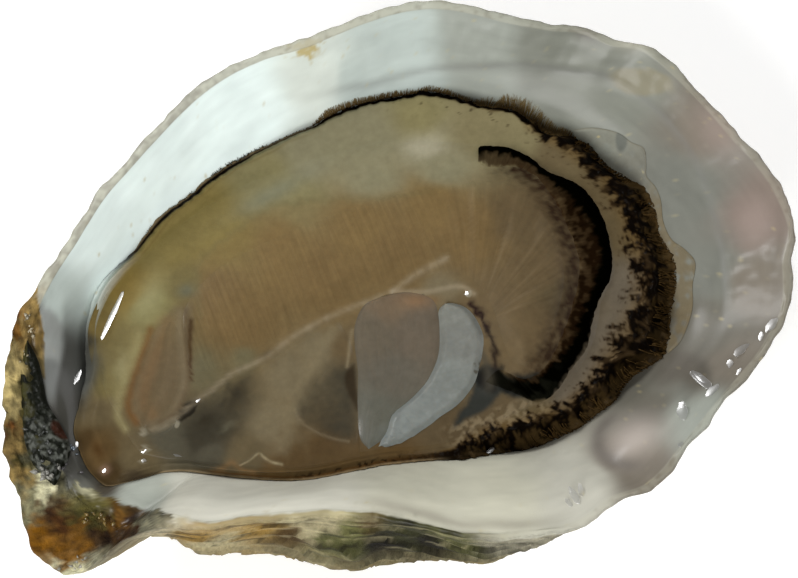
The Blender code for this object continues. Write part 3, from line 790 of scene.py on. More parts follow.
# %% Painting the outer wall and the pearl
def bark_paint(points, side, angle):
    """The outer wall: bands of pale, gold, green and near-black shell, streaked along the ledges."""
    run = at_level(on_plan(angle, 4.5), side * 42)
    tint = fuzz(run, 1.6, 11, 3) + 0.4 * fuzz(points, 2.0, 12)
    shade = fuzz(run, 0.9, 13, 3) + 0.35 * fuzz(points, 0.9, 14)
    place = np.stack([angle * 0.5 + 0.8 * fuzz(run, 1.2, 24, 2), (1 - side) * 30 + 0.9 * tint], 1)
    ledges = lay_coats(
        ground(place, BARK) * (1 + 0.35 * shade + 0.25 * tint)[:, None],
        (BARK_DARK, 0.5 * smooth(-shade, 0.25, 0.6)),
        (BARK_PALE, 0.35 * smooth(shade, 0.35, 0.7)),
    )
    return lay_coats(
        np.tile(BARK_PALE, (len(points), 1)),
        (BARK_GOLD, 0.5 * smooth(tint, 0.0, 0.5)),
        (BARK_BROWN, 0.45 * smooth(-tint, 0.1, 0.6)),
        (BARK_GREEN, 0.35 * smooth(shade, 0.1, 0.6)),
        (BARK_DARK, 0.20 * smooth(-shade, 0.15, 0.55)),
        (ledges, window(angle, 200, 212, 285, 305) * smooth(side, 0.60, 0.82)),
    )


def pearl_paint(points, angle):
    """The inside of the cup, from its rim down."""
    x, y = points[:, 0], points[:, 1]
    reach = np.hypot(x, y)
    warp = np.stack([fuzz(points, 4, 15), fuzz(points, 4, 16)], 1)
    cloud = fuzz(points, 5, 17, 3)
    into_cup = around(RIM, angle) - reach
    growth = fuzz(at_level(on_plan(angle, 5), into_cup * 1.1), 1.0, 23, 3)
    paint = ground(points[:, :2] + 0.9 * warp, PEARL) * (1 + 0.04 * cloud + 0.07 * growth)[:, None]
    paint = paint * (1 + 0.07 * bill_margin(points))[:, None]
    bill_line = along_bill(angle) * bell(reach, around(BILL_SHELF, angle), 0.35)
    stain = smooth(spot(points, 38.2, 18.0, 4.6, 1.5, -38) + 0.2 * cloud, 0.3, 0.6)
    pink = spot(points, 45.4, 8, 2.4, 4, 15) + spot(points, 46, -4, 2.4, 3, 0)
    scar = smooth(spot(points, 0, 33.2, 2.2, 1.2) + 0.5 * fuzz(points, 0.7, 18), 0.35, 0.8)
    blister_foot = bell(np.hypot((x - 22.8) / 4.4, (y + 25.2) / 3.8), 1, 0.22) * smooth(21.5 - x, -2.5, 1.5)
    # Where the nacre meets the flesh's left edge by the hinge, it is painted with that edge's shade and
    # reflection.
    past_plate = (points[:, :2] - [-38.5, 11.5]) @ [0.925, -0.38]
    edge_shade = smooth(past_plate + 0.3 * warp[:, 0], 0.0, 1.0) * (1 - smooth(x, -36, -33)) \
        * window(y, -11, -8, 7, 14)
    streak = bell(into_cup - 0.3 * cloud, 2.0, 0.8) * window(angle, 240, 252, 280, 292)
    return lay_coats(
        paint,
        (GREY_LINE, 0.35 * bill_line),
        (OLIVE_STAIN, 0.75 * stain),
        (MAUVE, 0.5 * pink),
        (CHALK, 0.6 * spot(points, 39.5, 22.0, 2.6, 1.0, -20)),
        (YELLOW_SCAR, scar),
        (PINK_PEARL * 1.2, 0.9 * spot(points, 23.0, -25.2, 3.4, 2.6, 15)),
        (DENT, 0.75 * blister_foot),
        (NACRE_EDGE_SHADE, (0.92 - 0.25 * spot(points, -38.2, 1.5, 1.6, 2.5)) * edge_shade),
        (PALE_STREAK, 0.45 * streak),
        (DENT, 0.7 * spot(points, 33.8, 25.0, 1.6, 0.9, -40)),
    )


# %% Painting the whole valve
SKIN_SHOWN = [(0, 0.25), (45, 0.35), (75, 0.8), (150, 0.9), (210, 0.6), (240, 0.3), (330, 0.25)]


def plate_paint(points, warp):
    """The torn hinge plate: brown, ochre and chalk, with flakes painted darker as shade and brighter as
    highlight.
    """
    plate = ground(points[:, :2] + 1.1 * warp, PLATE) * PLATE_TINT
    flake = fuzz(points * [1.1, 0.45, 1.5], 0.9, 22, 3)
    # Painted shade on some flakes, painted highlight on others.
    plate = lay(plate, plate * PLATE_PAINTED_SHADE, 0.65 * smooth(flake, 0.15, 0.60))
    return lay(plate, plate * PLATE_PAINTED_HIGHLIGHT + FLAKE_HIGHLIGHT_ADD, 0.5 * smooth(flake, -0.20, -0.65))


def shell_paint(points, side, angle):
    """The whole valve: bark outside, then the rim's skin, the torn plate and the pearl."""
    torn, plan = plate_share(angle), points[:, :2]
    speck = fuzz(points, 0.8, 19)
    skin = lay_coats(
        np.tile(RIM_SKIN, (len(points), 1)),
        (SKIN_BROWN, 0.7 * smooth(speck, 0.1, 0.9)),
        (SKIN_GREY, 0.7 * window(angle, 95, 118, 160, 172) * smooth(speck, -0.6, 0.2)),
    )
    warp = np.stack([fuzz(points, 1.5, 20, 2), fuzz(points, 1.5, 21, 2)], 1)
    plate = plate_paint(points, warp)
    bark = bark_paint(points, np.minimum(side, 1), angle)
    low_rim = window(angle, 206, 213, 268, 282) * (1 - torn)
    paint = lay_coats(
        pearl_paint(points, angle),
        (skin, around(SKIN_SHOWN, angle) * (1 - smooth(side, 2.0, 2.012)) * (1 - torn)),
        (plate, torn * (1 - smooth(side, 1.95, 2.03))),
        (plate, np.maximum(patch(plan + 0.4 * warp, BROWN_BELOW, 0.25), patch(plan, BROWN_ABOVE, 0.2))),
        (bark, low_rim * (1 - smooth(side + 0.15 * warp[:, 0], 1.65, 1.98))),
    )
    return lay_coats(bark, (plate, torn * smooth(side, 0.7, 0.95)), (paint, smooth(side, 0.95, 1.0)))


# %% The valve
def form_valve(row, column):
    radius, height = carve_valve()
    points = grid_points(valve_angle, radius, height)[row, column]
    side, angle = valve_side[row], valve_angle[column]
    bark = 1 - smooth(side, 0.97, 1.4)
    crust = np.maximum(bark, plate_share(angle) * (1 - smooth(side, 1.98, 2.06)))
    return points, {"paint": shell_paint(points, side, angle), "crust": crust}


pearl = Finish("oyster_shell", Coat_IOR=1.5, Coat_Roughness=0.22, Specular_IOR_Level=0.12)
crust = pearl.attribute("crust", "Fac")
where = pearl.place()
cloud = pearl.grain(where, 3.0)
grit = pearl.grain(where, 0.35, 5.0, 0.65)
colour = pearl.mix(pearl.attribute("paint"), pearl.grain(where, 0.5, 4.0), crust * 0.45, "OVERLAY")
colour = pearl.mix(colour, cloud, 0.10, "SOFT_LIGHT")
bumped = pearl.bump(grit * (crust * 0.9 + 0.03) + cloud * 0.05, 0.8, 0.5)
oyster_shell = pearl.done(Base_Color=colour, Roughness=crust * 0.30 + 0.42, Coat_Weight=(1 - crust) * 0.15,
                          Normal=bumped)
shell = form_ball("oyster_valve", ROWS, COLUMNS, form_valve)
settle(shell, oyster_shell, "shell", "shell")

# %% [markdown]
# ## The lie of the flesh
# The soft body fills the cup almost to its shelf and is draped in a wet skin, so its parts
# run into one another. One height map gives the skin's lie over the whole plan: a long
# mound over the gills, a shoulder of digestive gland above it, a sunken, clear-walled
# heart chamber, and the cut face of the closing muscle. Every soft piece takes its top
# from this map, and lies on the nacre below.

# %% Knots of the soft parts: (angle, radius) round the cup, then edges as points
BODY_EDGE = [
    (0, 29.3), (10, 29.5), (20, 28.5), (27, 27.2), (38, 26.6), (46, 24.6), (60, 23), (75, 22.4),
    (90, 21.7), (105, 22.3), (120, 24.4), (135, 27.3), (150, 31.2), (160, 34.9), (168, 36.4),
    (176, 36.2), (184, 35.5), (192, 35), (197, 32.6), (200, 30.6), (206, 27.8), (210, 26.2),
    (225, 21.8), (240, 18.7), (255, 17.7), (270, 18.2), (285, 19.2), (297, 20), (306, 21.6),
    (320, 24.2), (333, 25.6), (343, 26.2), (353, 28.6),
]
FRINGE = [  # (angle, reach of the dark border, its width, length of the feelers past it)
    (3, 35.6, 4.2, 0.6), (6, 35.8, 4.4, 0.6), (9, 35.8, 4.2, 0.6), (12, 35.2, 3.8, 0.6),
    (15, 34.7, 3.2, 0.6), (18, 34.1, 3, 0.6), (21, 33.9, 3.2, 0.6), (24, 33.8, 3.4, 0.7),
    (27, 33, 2.8, 0.8), (30, 32.2, 2.5, 1), (33, 31.6, 2, 1.2), (36, 31.4, 2, 1.5),
    (39, 31.4, 1.4, 1.6), (42, 31.2, 1.2, 1.5), (45, 30.7, 1.5, 1.3), (48, 30.2, 1.3, 1),
    (51, 29.9, 1.2, 0.6), (54, 29.9, 1.2, 0.5), (60, 29.8, 1.2, 0.6), (68, 28.9, 1, 0.6),
    (75, 28.2, 0.9, 0.6), (82, 27.6, 0.8, 0.7), (88, 27, 0.7, 0.7), (94.5, 26.5, 0.5, 0.2),
    (104.5, 26.6, 0.5, 0.2), (112.5, 27.1, 0.6, 0.3), (119.5, 27.9, 0.9, 0.3), (125.5, 28.6, 0.9, 0.2),
    (131, 29.3, 0.9, 0.2), (139, 31, 0.9, 0.2), (144, 31.9, 0.8, 0.2), (149, 32.9, 0.7, 0.1),
    (154.5, 34.9, 0.5, 0), (159.5, 36.4, 0.4, 0), (166, 37.4, 0.4, 0), (173, 37.9, 0.4, 0),
    (179.5, 39.6, 0.4, 0), (184.5, 41.3, 0.4, 0), (189.5, 41.6, 0.4, 0), (193, 41.3, 0.4, 0),
    (195.2, 40.7, 0.4, 0), (196.8, 37.6, 0.4, 0), (198.2, 34.8, 0.5, 0), (201.4, 32.1, 0.5, 0),
    (206, 29.9, 0.5, 0), (211, 28, 0.5, 0), (217, 26.2, 0.5, 0), (223, 24.7, 0.5, 0),
    (230, 23.1, 0.5, 0.1), (241, 20.8, 0.6, 0.1), (252, 19.6, 0.6, 0.1), (262, 19.4, 0.7, 0.1),
    (270, 19.9, 0.9, 0.1), (276, 20.6, 1.3, 0.1), (281, 21.2, 2.2, 0.1), (286, 21.8, 2.7, 0.1),
    (292, 22.5, 3, 0.1), (297, 23.6, 3.2, 0.2), (303, 25.2, 3.2, 0.3), (308, 26.5, 3.2, 0.4),
    (312, 27.6, 3.3, 0.4), (316, 28.5, 3.4, 0.4), (320, 29.5, 3.6, 0.4), (324.5, 29.9, 3.6, 0.4),
    (328, 30.9, 4.2, 0.4), (330.5, 32.8, 5.4, 0.4), (333, 34.1, 6.2, 0.4), (336.5, 34.5, 6, 0.4),
    (340, 34.7, 5.3, 0.5), (344, 35, 4.8, 0.5), (348, 35.7, 4.9, 0.5), (352, 35.9, 4.9, 0.5),
    (356, 35.5, 4.4, 0.5), (359.5, 35.1, 4, 0.6),
]
print("body's edge, mm from the middle:", min(BODY_EDGE, key=lambda k: k[1]), "to",
      max(BODY_EDGE, key=lambda k: k[1]))

# %% Lines and edges of the organs, as points on the plan
GILL_SPINE = curve([
    (-23, 3), (-16, 6), (-8, 7.5), (2, 8), (10, 7), (16, 3), (17.5, -2), (16, -7), (14, -10),
], 90)
MEMBRANE = curve([
    (-32, -5.6), (-30.4, -5.6), (-28.6, -5), (-26, -3.9), (-23.5, -3.2), (-21, -2.2), (-19, -1.9),
    (-16, -1.3), (-13, -0.2), (-10, 0.6), (-6, 1.3), (-2, 1.5), (1, 1.8), (3, 2.5), (5, 3), (8.5, 3.6),
], 140)
BRANCH = curve([(1, 1.7), (3, 1.2), (5, 0.6), (8, 0.2), (9.5, -0.3), (10.4, -1.5)], 40)
GILL_OUTER = [
    (-24.7, 2), (-24, 8), (-19, 11.8), (-11, 13.6), (-2, 14.4), (7, 14.2), (13, 13.3), (18.2, 12.2),
    (21.3, 10.2), (22.8, 6), (23.2, 2), (22.8, -2), (21.4, -5.4), (19.2, -8.6), (16.4, -11.6),
    (13.2, -12.8),
]
GILL_INNER = [
    (-24.7, 2), (-25.6, -1), (-22, -2), (-18, -1.3), (-14, -0.2), (-10, 1), (-5, 1.9), (0, 2.1), (5, 2),
    (9.2, 0.6), (10.8, -2.4), (11, -5.5), (10.8, -8.5), (11, -11.4), (13.2, -12.8),
]
LIP_OUTER = [
    (16.9, 15.6), (17.4, 17.1), (19.5, 16.5), (21.6, 15.3), (23.2, 13.5), (24.4, 11.4), (26, 10),
    (27.6, 8.5), (28.7, 6.3), (29.1, 3.3), (29, 0.4), (28.4, -2.3), (27.3, -4.6), (25.4, -6.5),
    (23.9, -8.4), (22.8, -10.2), (21.6, -12.2), (19.8, -13.7), (18, -15), (16.2, -16.4), (14.4, -17.1),
    (12.8, -16.7), (11.6, -15.7), (10.4, -14.6), (9.2, -13.6), (7.6, -12.4),
]
LIP_INNER = [
    (16.9, 15.6), (16.4, 14.2), (18, 13.2), (20.6, 12.6), (22.2, 10.9), (23, 9), (23.5, 6.8), (23.8, 4),
    (23.9, 1.2), (23.7, -1.4), (22.8, -3.8), (21.6, -5.8), (20.3, -7.7), (18.8, -9.6), (17.1, -11.5),
    (15.4, -12.9), (13.6, -13.6), (12.2, -13.2), (11.2, -12.2), (10, -11.4), (7.6, -12.4),
]
PALPS_OUTER = [(-25.4, 6.9), (-28.4, 6.2), (-31.6, 3.2), (-33.8, 0), (-34.2, -3), (-32.9, -5.2)]
PALPS_INNER = [
    (-25.4, 6.9), (-25, 4.3), (-25.5, 1), (-26.6, -2), (-28.2, -4.2), (-30.4, -5.5), (-32.9, -5.2),
]
HEART_OUTER = [
    (-33.2, -6.4), (-30, -5.9), (-27.6, -4.6), (-22, -2.9), (-18, -2.2), (-14, -1.1), (-10, 0.1),
    (-6.6, 0.8), (-5.6, -2.6), (-6.1, -6), (-7.3, -10), (-8.2, -14), (-9, -17),
]
HEART_INNER = [(-33.2, -6.4), (-31.6, -9), (-27.6, -12), (-22, -14.6), (-16, -16.4), (-9, -17)]
QUICK_OUTER = [
    (0, 1.6), (-3, 1.3), (-4.9, -0.6), (-5.7, -3), (-6.3, -6), (-7.6, -10), (-8.6, -14), (-8, -16),
]
QUICK_INNER = [
    (0, 1.6), (3, 1.2), (5.6, -0.4), (5.8, -2.6), (5.2, -5), (4.3, -7.4), (2.4, -9.9), (-0.4, -11.8),
    (-3, -13.2), (-4.6, -15), (-7.8, -16.2),
]
CATCH_OUTER = [
    (6.6, -1.4), (5.5, -2), (5, -3.6), (4.4, -5.6), (3.4, -7.6), (1.4, -9.7), (-0.6, -10.9),
    (-2.2, -11.6), (-3.6, -12.1), (-4.4, -12.9), (-5.1, -14), (-6.9, -16.1),
]
CATCH_INNER = [
    (6.6, -1.4), (7.9, -1.7), (9.2, -2.8), (9.9, -4.6), (10, -7.2), (9.1, -9.4), (8.2, -10.9),
    (7.2, -12.3), (5.6, -13.5), (4, -14.3), (2, -14.9), (0, -15.7), (-2, -16.3), (-4, -16.7),
    (-5.6, -16.6), (-6.9, -16.1),
]
LIP_INNER_LINE = curve(LIP_INNER, 120)
print("points on the lip's edges:", len(LIP_OUTER), "and", len(LIP_INNER))

# %% Heights of the nacre and of the flesh over the plan
FLESH_LEVEL = 18.9           # the skin's height before its mounds and hollows
TABLE_TURN, TABLE_STEP = 0.5, 0.25           # the nacre table's steps: degrees round, millimetres out
TABLE_REACH, CUP_SAMPLES = 52, 121


def nacre_table():
    """The cup's height at even steps round it and out from its middle."""
    angle, reach = np.arange(0, 360, TABLE_TURN), np.arange(0, TABLE_REACH, TABLE_STEP)
    radius, height = cup_points(angle, np.linspace(0, 1, CUP_SAMPLES))
    return np.stack([np.interp(reach, radius[::-1, i], height[::-1, i]) for i in range(len(angle))])


NACRE = nacre_table()


def nacre_height(plan):
    """Height of the nacre under plan points, read between the table's four nearest entries."""
    angle, reach = polar(plan)
    i, j = angle / TABLE_TURN, np.clip(reach / TABLE_STEP, 0, NACRE.shape[1] - 1.001)
    i0, j0 = i.astype(int), j.astype(int)
    u, v = i - i0, j - j0
    before, after = i0 % len(NACRE), (i0 + 1) % len(NACRE)
    low = NACRE[before, j0] * (1 - v) + NACRE[before, j0 + 1] * v
    high = NACRE[after, j0] * (1 - v) + NACRE[after, j0 + 1] * v
    return low * (1 - u) + high * u + cup_relief(plan)


def flesh_top(plan):
    """Height of the wet skin over the whole soft body."""
    angle, reach = polar(plan)
    mound = 2.1 * stroke(plan, GILL_SPINE, 7.5)
    mound += 0.14 * stroke(plan, MEMBRANE, 0.3, 0.45) + 0.10 * stroke(plan, BRANCH, 0.35)
    shoulder = 0.9 * spot(plan, -14, 17, 17, 4.5, 14) + 0.8 * spot(plan, -30, 9, 4.5, 6, -40)
    heart = -1.0 * spot(plan, -21, -7.5, 11, 4.8, -14) - 0.9 * spot(plan, -11, -10, 5, 5)
    muscle = -1.0 * spot(plan, 0, -8, 7.5, 8.0, 0)
    below = -0.6 * spot(plan, 8, -14.5, 5, 2.2, 15)
    edge, body = around(MANTLE_EDGE, angle), around(BODY_EDGE, angle)
    across = np.clip((reach - body) / (edge - body), 0, 1.2)
    trough = -0.5 * bell(reach, body, 1.6) * window((angle + 100) % 360, 20, 50, 160, 200)
    fringe = 0.9 * smooth(across, 0.1, 1.0)
    return FLESH_LEVEL + mound + shoulder + heart + muscle + below + trough + fringe


middle = np.zeros((1, 2))
print("nacre and skin over the cup's middle, mm:", nacre_height(middle).round(2), flesh_top(middle).round(2))

# %% Colours of the flesh, and the washes that lay them on the plan: (x, y, reach, colour)
OLIVE_DEEP, OLIVE, PALE_OLIVE = tone(98, 88, 55), tone(112, 99, 57), tone(113, 107, 70)
SAGE, PALE_SAGE, IVORY = tone(115, 108, 75), tone(118, 113, 88), tone(136, 131, 108)
SAND, UMBER_PALE, UMBER, UMBER_DARK = tone(110, 102, 74), tone(86, 75, 53), tone(78, 67, 46), tone(64, 54, 40)
AMBER, AMBER_PALE, FAWN = tone(98, 80, 50), tone(108, 89, 54), tone(87, 73, 50)
BURNT, STRAW_SKIN, GLASS = tone(78, 61, 36), tone(100, 90, 68), tone(88, 81, 68)
GUT_GREY_AND_SHADE, GUT, GUT_DARK, LILAC = tone(70, 66, 53), tone(50, 46, 35), tone(38, 33, 22), tone(86, 78, 65)
FRINGE_DARK, FRINGE_BROWN, FRINGE_GOLD = tone(5, 2, 0), tone(38, 24, 8), tone(88, 68, 34)
FRINGE_RUST, FRINGE_EDGE, HEM_GOLD = tone(84, 58, 28), tone(62, 48, 26), tone(92, 76, 42)
BLEED_BROWN = tone(36, 23, 10)
FRINGE_HEM = [
    (0, 1), (10, 0.9), (18, 0.15), (30, 0.1), (60, 0.4), (270, 0.5), (300, 0.8), (322, 0.7), (332, 0.3),
    (342, 0.6), (350, 0.9),
]
FLESH = [
    (-34, 10, 2.5, OLIVE_DEEP * [1.1, 1, 0.8]), (-30, 12, 3, OLIVE * [1.05, 0.95, 0.75]),
    (-24, 16, 3, OLIVE), (-17, 19, 3.5, OLIVE), (-10, 21, 4, SAGE), (-3, 22.5, 4, PALE_SAGE),
    (4, 22, 4, PALE_SAGE), (11, 19, 2.5, IVORY), (11, 23, 3, SAGE), (18, 19.5, 3, SAND),
    (22, 17, 3, SAND), (26, 13.5, 2.2, UMBER_PALE), (29.6, 7, 1.8, UMBER), (30, 1, 1.8, UMBER),
    (28.8, -6, 2, LILAC), (25, -11.4, 2, LILAC), (21.4, -15.2, 2, LILAC), (17.4, -17.2, 1.8, LILAC),
    (12, -18.5, 2, UMBER), (-28, 9, 2.8, PALE_OLIVE), (-31, 6, 2.4, OLIVE_DEEP),
    (-23, 10.5, 2.2, OLIVE_DEEP), (-16, 15, 3, OLIVE), (-7, 17, 3.5, SAGE), (3, 17.5, 3.2, PALE_SAGE),
    (12, 15.5, 3, PALE_SAGE), (-20, 8, 3, AMBER), (-10, 11, 3.5, AMBER_PALE), (0, 11.5, 4, AMBER_PALE),
    (9, 11, 3.5, AMBER_PALE), (-18, 3, 3.5, AMBER), (-7, 6, 4, AMBER), (3, 6, 4, AMBER),
    (12, 6, 3.5, AMBER), (18.5, 6, 3, FAWN), (18.5, -1, 3, FAWN), (13, -3, 3, FAWN),
    # GUT_GREY_AND_SHADE at (-38, 4) and (-36.2, 7.8) is painted shade along the flesh's left edge; at (-30,
    # -7.5) and (-26, -10.5) it is the gut showing through.
    (14.5, -9, 3, FAWN), (20, -5, 2.2, UMBER), (-38, 4, 1.8, GUT_GREY_AND_SHADE), (-37.5, -1, 2, UMBER_PALE),
    (-38.5, -6.2, 1.8, BURNT), (-35, -8.5, 2.4, UMBER_PALE), (-35.5, 1.5, 1.8, OLIVE_DEEP),
    (-30, -7.5, 2.2, GUT_GREY_AND_SHADE), (-26, -8, 2.4, GUT), (-26, -10.5, 1.8, GUT_GREY_AND_SHADE),
    (-22, -12, 2.2, UMBER_PALE), (-14.5, -4, 2, STRAW_SKIN), (-10, -2.5, 2, STRAW_SKIN),
    (-18, -9, 2, STRAW_SKIN), (-17, -13.6, 2, BURNT), (-13, -14, 1.6, BURNT * 0.9),
    (-24, -0.5, 2, SAND * 0.62), (-19, -0.4, 1.6, SAND * 0.72), (-7, -3, 1.6, FAWN),
    (-28, 1, 2.5, FAWN), (-30, -2.4, 2, FAWN), (0, -6, 3, GLASS), (3, -17.2, 1.8, FAWN * 0.7),
    (9, -17, 1.6, FAWN * 0.75), (-5, -17.7, 1.4, BURNT), (-12, -16.6, 1.6, BURNT),
    (-20, -15.4, 1.5, BURNT * 1.3), (9, -3, 1.5, FAWN), (7, 0.4, 1.8, STRAW_SKIN),
    (-16, -11.5, 2, FAWN), (-40, -4, 1, BURNT * 0.6), (-38.4, -9.2, 1.4, BURNT * 0.5),
    (-35.6, -10.6, 1.4, UMBER_DARK * 0.8), (-36.2, 7.8, 1.2, GUT_GREY_AND_SHADE * 0.7),
]
print("washes on the flesh:", len(FLESH))

# %% Lines and outlines of the marks under the skin
CRACK = curve([(-23.6, 5.6), (-24.1, 4.2), (-24.7, 2.4), (-25.1, 0.8), (-25.8, -1.4)], 40)
RUSTY = curve([(-28.6, 6.2), (-30, 4.2), (-31.8, 1.8), (-33.3, -0.4), (-34, -2.4), (-33.6, -4.2)], 50)
STRIP = curve([(-7.2, -0.4), (-10, -2.8), (-12.4, -5.2), (-15, -8.4), (-17.6, -12.4)], 60)
HEART_HOLLOW = [
    (-14.7, -8.8), (-13.8, -7.2), (-11.4, -5.6), (-8.6, -4.6), (-6.2, -5.2), (-6.7, -7.8), (-7.6, -11),
    (-8.6, -13.6), (-9.6, -14), (-11.4, -12.9), (-13, -11.5), (-14.1, -10.2),
]
HOLLOW_BRIM = curve([(-14.8, -8.4), (-14.6, -9.7), (-13.4, -11.5), (-11.6, -13.1), (-9.8, -14.2)], 40)
DARKEST = [(-6.2, -5.2), (-7.4, -5.8), (-8, -7.2), (-7.8, -9.4), (-7.6, -10.8), (-7.1, -9.6), (-6.7, -7.6)]
GUT_HOLLOW = [
    (-28.5, -7.6), (-27.2, -5.8), (-25.4, -4.6), (-22.6, -3.4), (-19.8, -2.7), (-18.4, -3.2),
    (-18.9, -5.4), (-20.4, -7.6), (-23, -9), (-26.2, -9.4),
]
SLATE_TAIL = [
    (2.9, -16.7), (3.6, -15.4), (5, -14.5), (6, -13.5), (6.6, -12.4), (7, -11.2), (8.8, -10.6),
    (10, -11.5), (10.8, -12.6), (12, -13.4), (15, -14), (15, -16.2), (12, -16), (10.5, -15.2),
    (9.6, -14.5), (8.4, -15.2), (6.6, -15.9), (4.8, -16.1),
]
INKY = [
    (7, -12.6), (7.6, -11.4), (9, -10.8), (10.2, -11.2), (10.9, -12.5), (12, -13.4), (15, -14.2),
    (15.2, -16.1), (12.4, -15.9), (10.6, -15), (9.5, -14), (8.6, -13.9),
]
RED_LINE = curve([(9.6, -2.4), (10.1, -3.6), (10.5, -5), (10.5, -6.6)], 30)
NOTCH = curve([(10.4, -6.4), (10.6, -8.2), (10.4, -9.8), (10.1, -11)], 30)
GILL_EDGE = curve([
    (-22.4, 6), (-21.4, 11), (-20.4, 12.6), (-18.6, 13.8), (-16, 14.8), (-12.2, 16.2), (-9.3, 16.9),
    (-6.1, 16.5), (-2.4, 15.5), (1.6, 14.3), (5.8, 13.2), (10.8, 12.3), (14.7, 12.1),
], 80)
GILL_BED = [tuple(point) for point in GILL_EDGE[::4]] + [(15.0, 7.0), (4.0, 6.0), (-10.0, 4.5), (-21.0, 3.0)]
PALP_LENS = [
    (-25, 8.2), (-28.9, 5.4), (-31.8, 2), (-33.6, -0.5), (-33.9, -3.1), (-32.9, -4.7), (-31.2, -5.1),
    (-28.4, -4.1), (-26.6, -2.4), (-25.4, -0.5), (-24.7, 1.9), (-23.8, 4.6), (-23, 7.4),
]
PALP_EDGE = curve([(-24.6, 7), (-25.4, 4.6), (-26, 2), (-26.9, -1.4), (-29.2, -4.2), (-31.6, -5.1)], 60)
THIN_FOLD = curve([
    (-23.2, -13.2), (-21.8, -12.9), (-20.6, -12.4), (-20.2, -13), (-19.5, -13.9), (-18.4, -14.6),
], 50)
CORD = curve([(-5.2, -1.2), (-5.9, -2.6), (-6.5, -4), (-7.1, -5.2)], 30)
FRINGE_STRENGTH = [
    (0, 1), (60, 1), (80, 0.95), (100, 0.95), (125, 1), (146, 0.9), (154, 0.5), (161, 0), (200, 0),
    (208, 0.25), (225, 0.45), (250, 0.6), (268, 0.8), (276, 0.95), (290, 1),
]
# Pale spots painted as highlights of small drops of liquor: (x, y, size).
GLINT_SPOTS = [(-33.6, -7.8, 0.8), (-34.2, -9, 0.5), (-29, -5.9, 0.6), (-33.2, -5.6, 0.9), (9.8, -1.4, 0.6)]


# %% Painting the mantle's dark border
def inward(plan):
    """How far plan points lie inside the dark border's outer edge."""
    angle, reach = polar(plan)
    return around(FRINGE, angle) - reach


def fringe_paint(plan, points, paint):
    """The dark margin of the mantle: a black line at the top, broken clumps where it is wide."""
    angle, reach = polar(plan)
    wide, inner = around(FRINGE, angle, 2), inward(plan)
    share = inner / wide
    clump = fuzz(at_level(on_plan(angle, 32), reach * 0.7), 1.2, 31, 3)
    speckle = fuzz(points, 0.42, 32, 2)
    broad = smooth(wide, 0.9, 2.4)
    ragged = share + (0.40 * clump + 0.16 * speckle) * (0.2 + 0.8 * broad)
    gap = broad * smooth(fuzz(points, 1.5, 39, 3) + 0.3 * clump, 0.1, 0.6)
    hem = broad * around(FRINGE_HEM, angle) * (1 - smooth(ragged, 0.20, 0.46))
    under = window(angle, 200, 212, 258, 272)
    strength, above = around(FRINGE_STRENGTH, angle) * (1 - under), 1 - under
    line = under * bell(inner, 0.45, 0.16 + 0.14 * smooth(angle, 235, 262))
    dots = under * smooth(fuzz(points, 0.5, 30), 0.30, 0.55) * bell(inner, 0.6, 0.35)
    return lay_coats(
        paint,
        (FRINGE_GOLD, 0.55 * strength * (1 - smooth(share, 0.75, 1.4))),
        (FRINGE_BROWN, strength * (1 - smooth(ragged, 0.85, 1.25)) * (1 - 0.25 * gap)),
        (FRINGE_DARK, strength * (1 - smooth(ragged, 0.80, 1.08)) * (1 - 0.50 * gap)),
        (FRINGE_EDGE, 0.85 * hem * above),
        (FRINGE_RUST, 0.9 * line * (1 + 0.4 * speckle)),
        (FRINGE_DARK, 0.6 * line * smooth(angle, 236, 262)),
        (FRINGE_DARK, 0.85 * dots * smooth(angle, 218, 232)),
    )


# %% Painting the flesh and its marks
def flesh_paint(points):
    """Colour of the wet skin at points on it."""
    plan = points[:, :2]
    flat = at_level(plan)
    x, y = plan.T
    warp = np.stack([fuzz(flat, 3.5, 33), fuzz(flat, 3.5, 34)], 1)
    to_lip, along_lip = distance(plan, LIP_INNER_LINE)
    bleed = window(along_lip, 0.02, 0.16, 0.80, 0.90) * bell(to_lip, 0, 1.8) \
        * (1 + 0.5 * fuzz(flat, 0.8, 38, 2))
    inner, wide = inward(plan), around(FRINGE, polar(plan)[0], 2)
    freckles = smooth(fuzz(flat, 0.55, 36), 0.50, 0.85) * bell(inner - wide, 1.0, 1.1) * smooth(x, 3, 16)
    hem = bell(inner - 0.3 * warp[:, 0], 1.6, 0.16) * smooth(y, 10, 14) * (1 - smooth(x, -8, 2))
    paint = lay_coats(
        ground(plan + 0.5 * warp, FLESH) * (1 + 0.06 * fuzz(flat, 2.5, 35, 3))[:, None],
        (tone(96, 108, 104), 0.30 * spot(plan, -9, 18.6, 5.5, 1.3, 14)),
        (tone(78, 84, 76), 0.55 * spot(plan, -23, 9.6, 1.2, 0.9)),
        (tone(150, 146, 108), 0.35 * spot(plan, -27.5, 10.5, 1.6, 3.2, -35)),
        (tone(160, 154, 132), 0.5 * spot(plan, 10.6, 18.9, 2.6, 0.9, -20)),
        (BLEED_BROWN, 0.85 * bleed),
        (FRINGE_BROWN, 0.8 * freckles),
    )
    paint = lay(detail_paint(plan, flat, paint), HEM_GOLD, 0.35 * hem)
    return fringe_paint(plan, flat, paint)


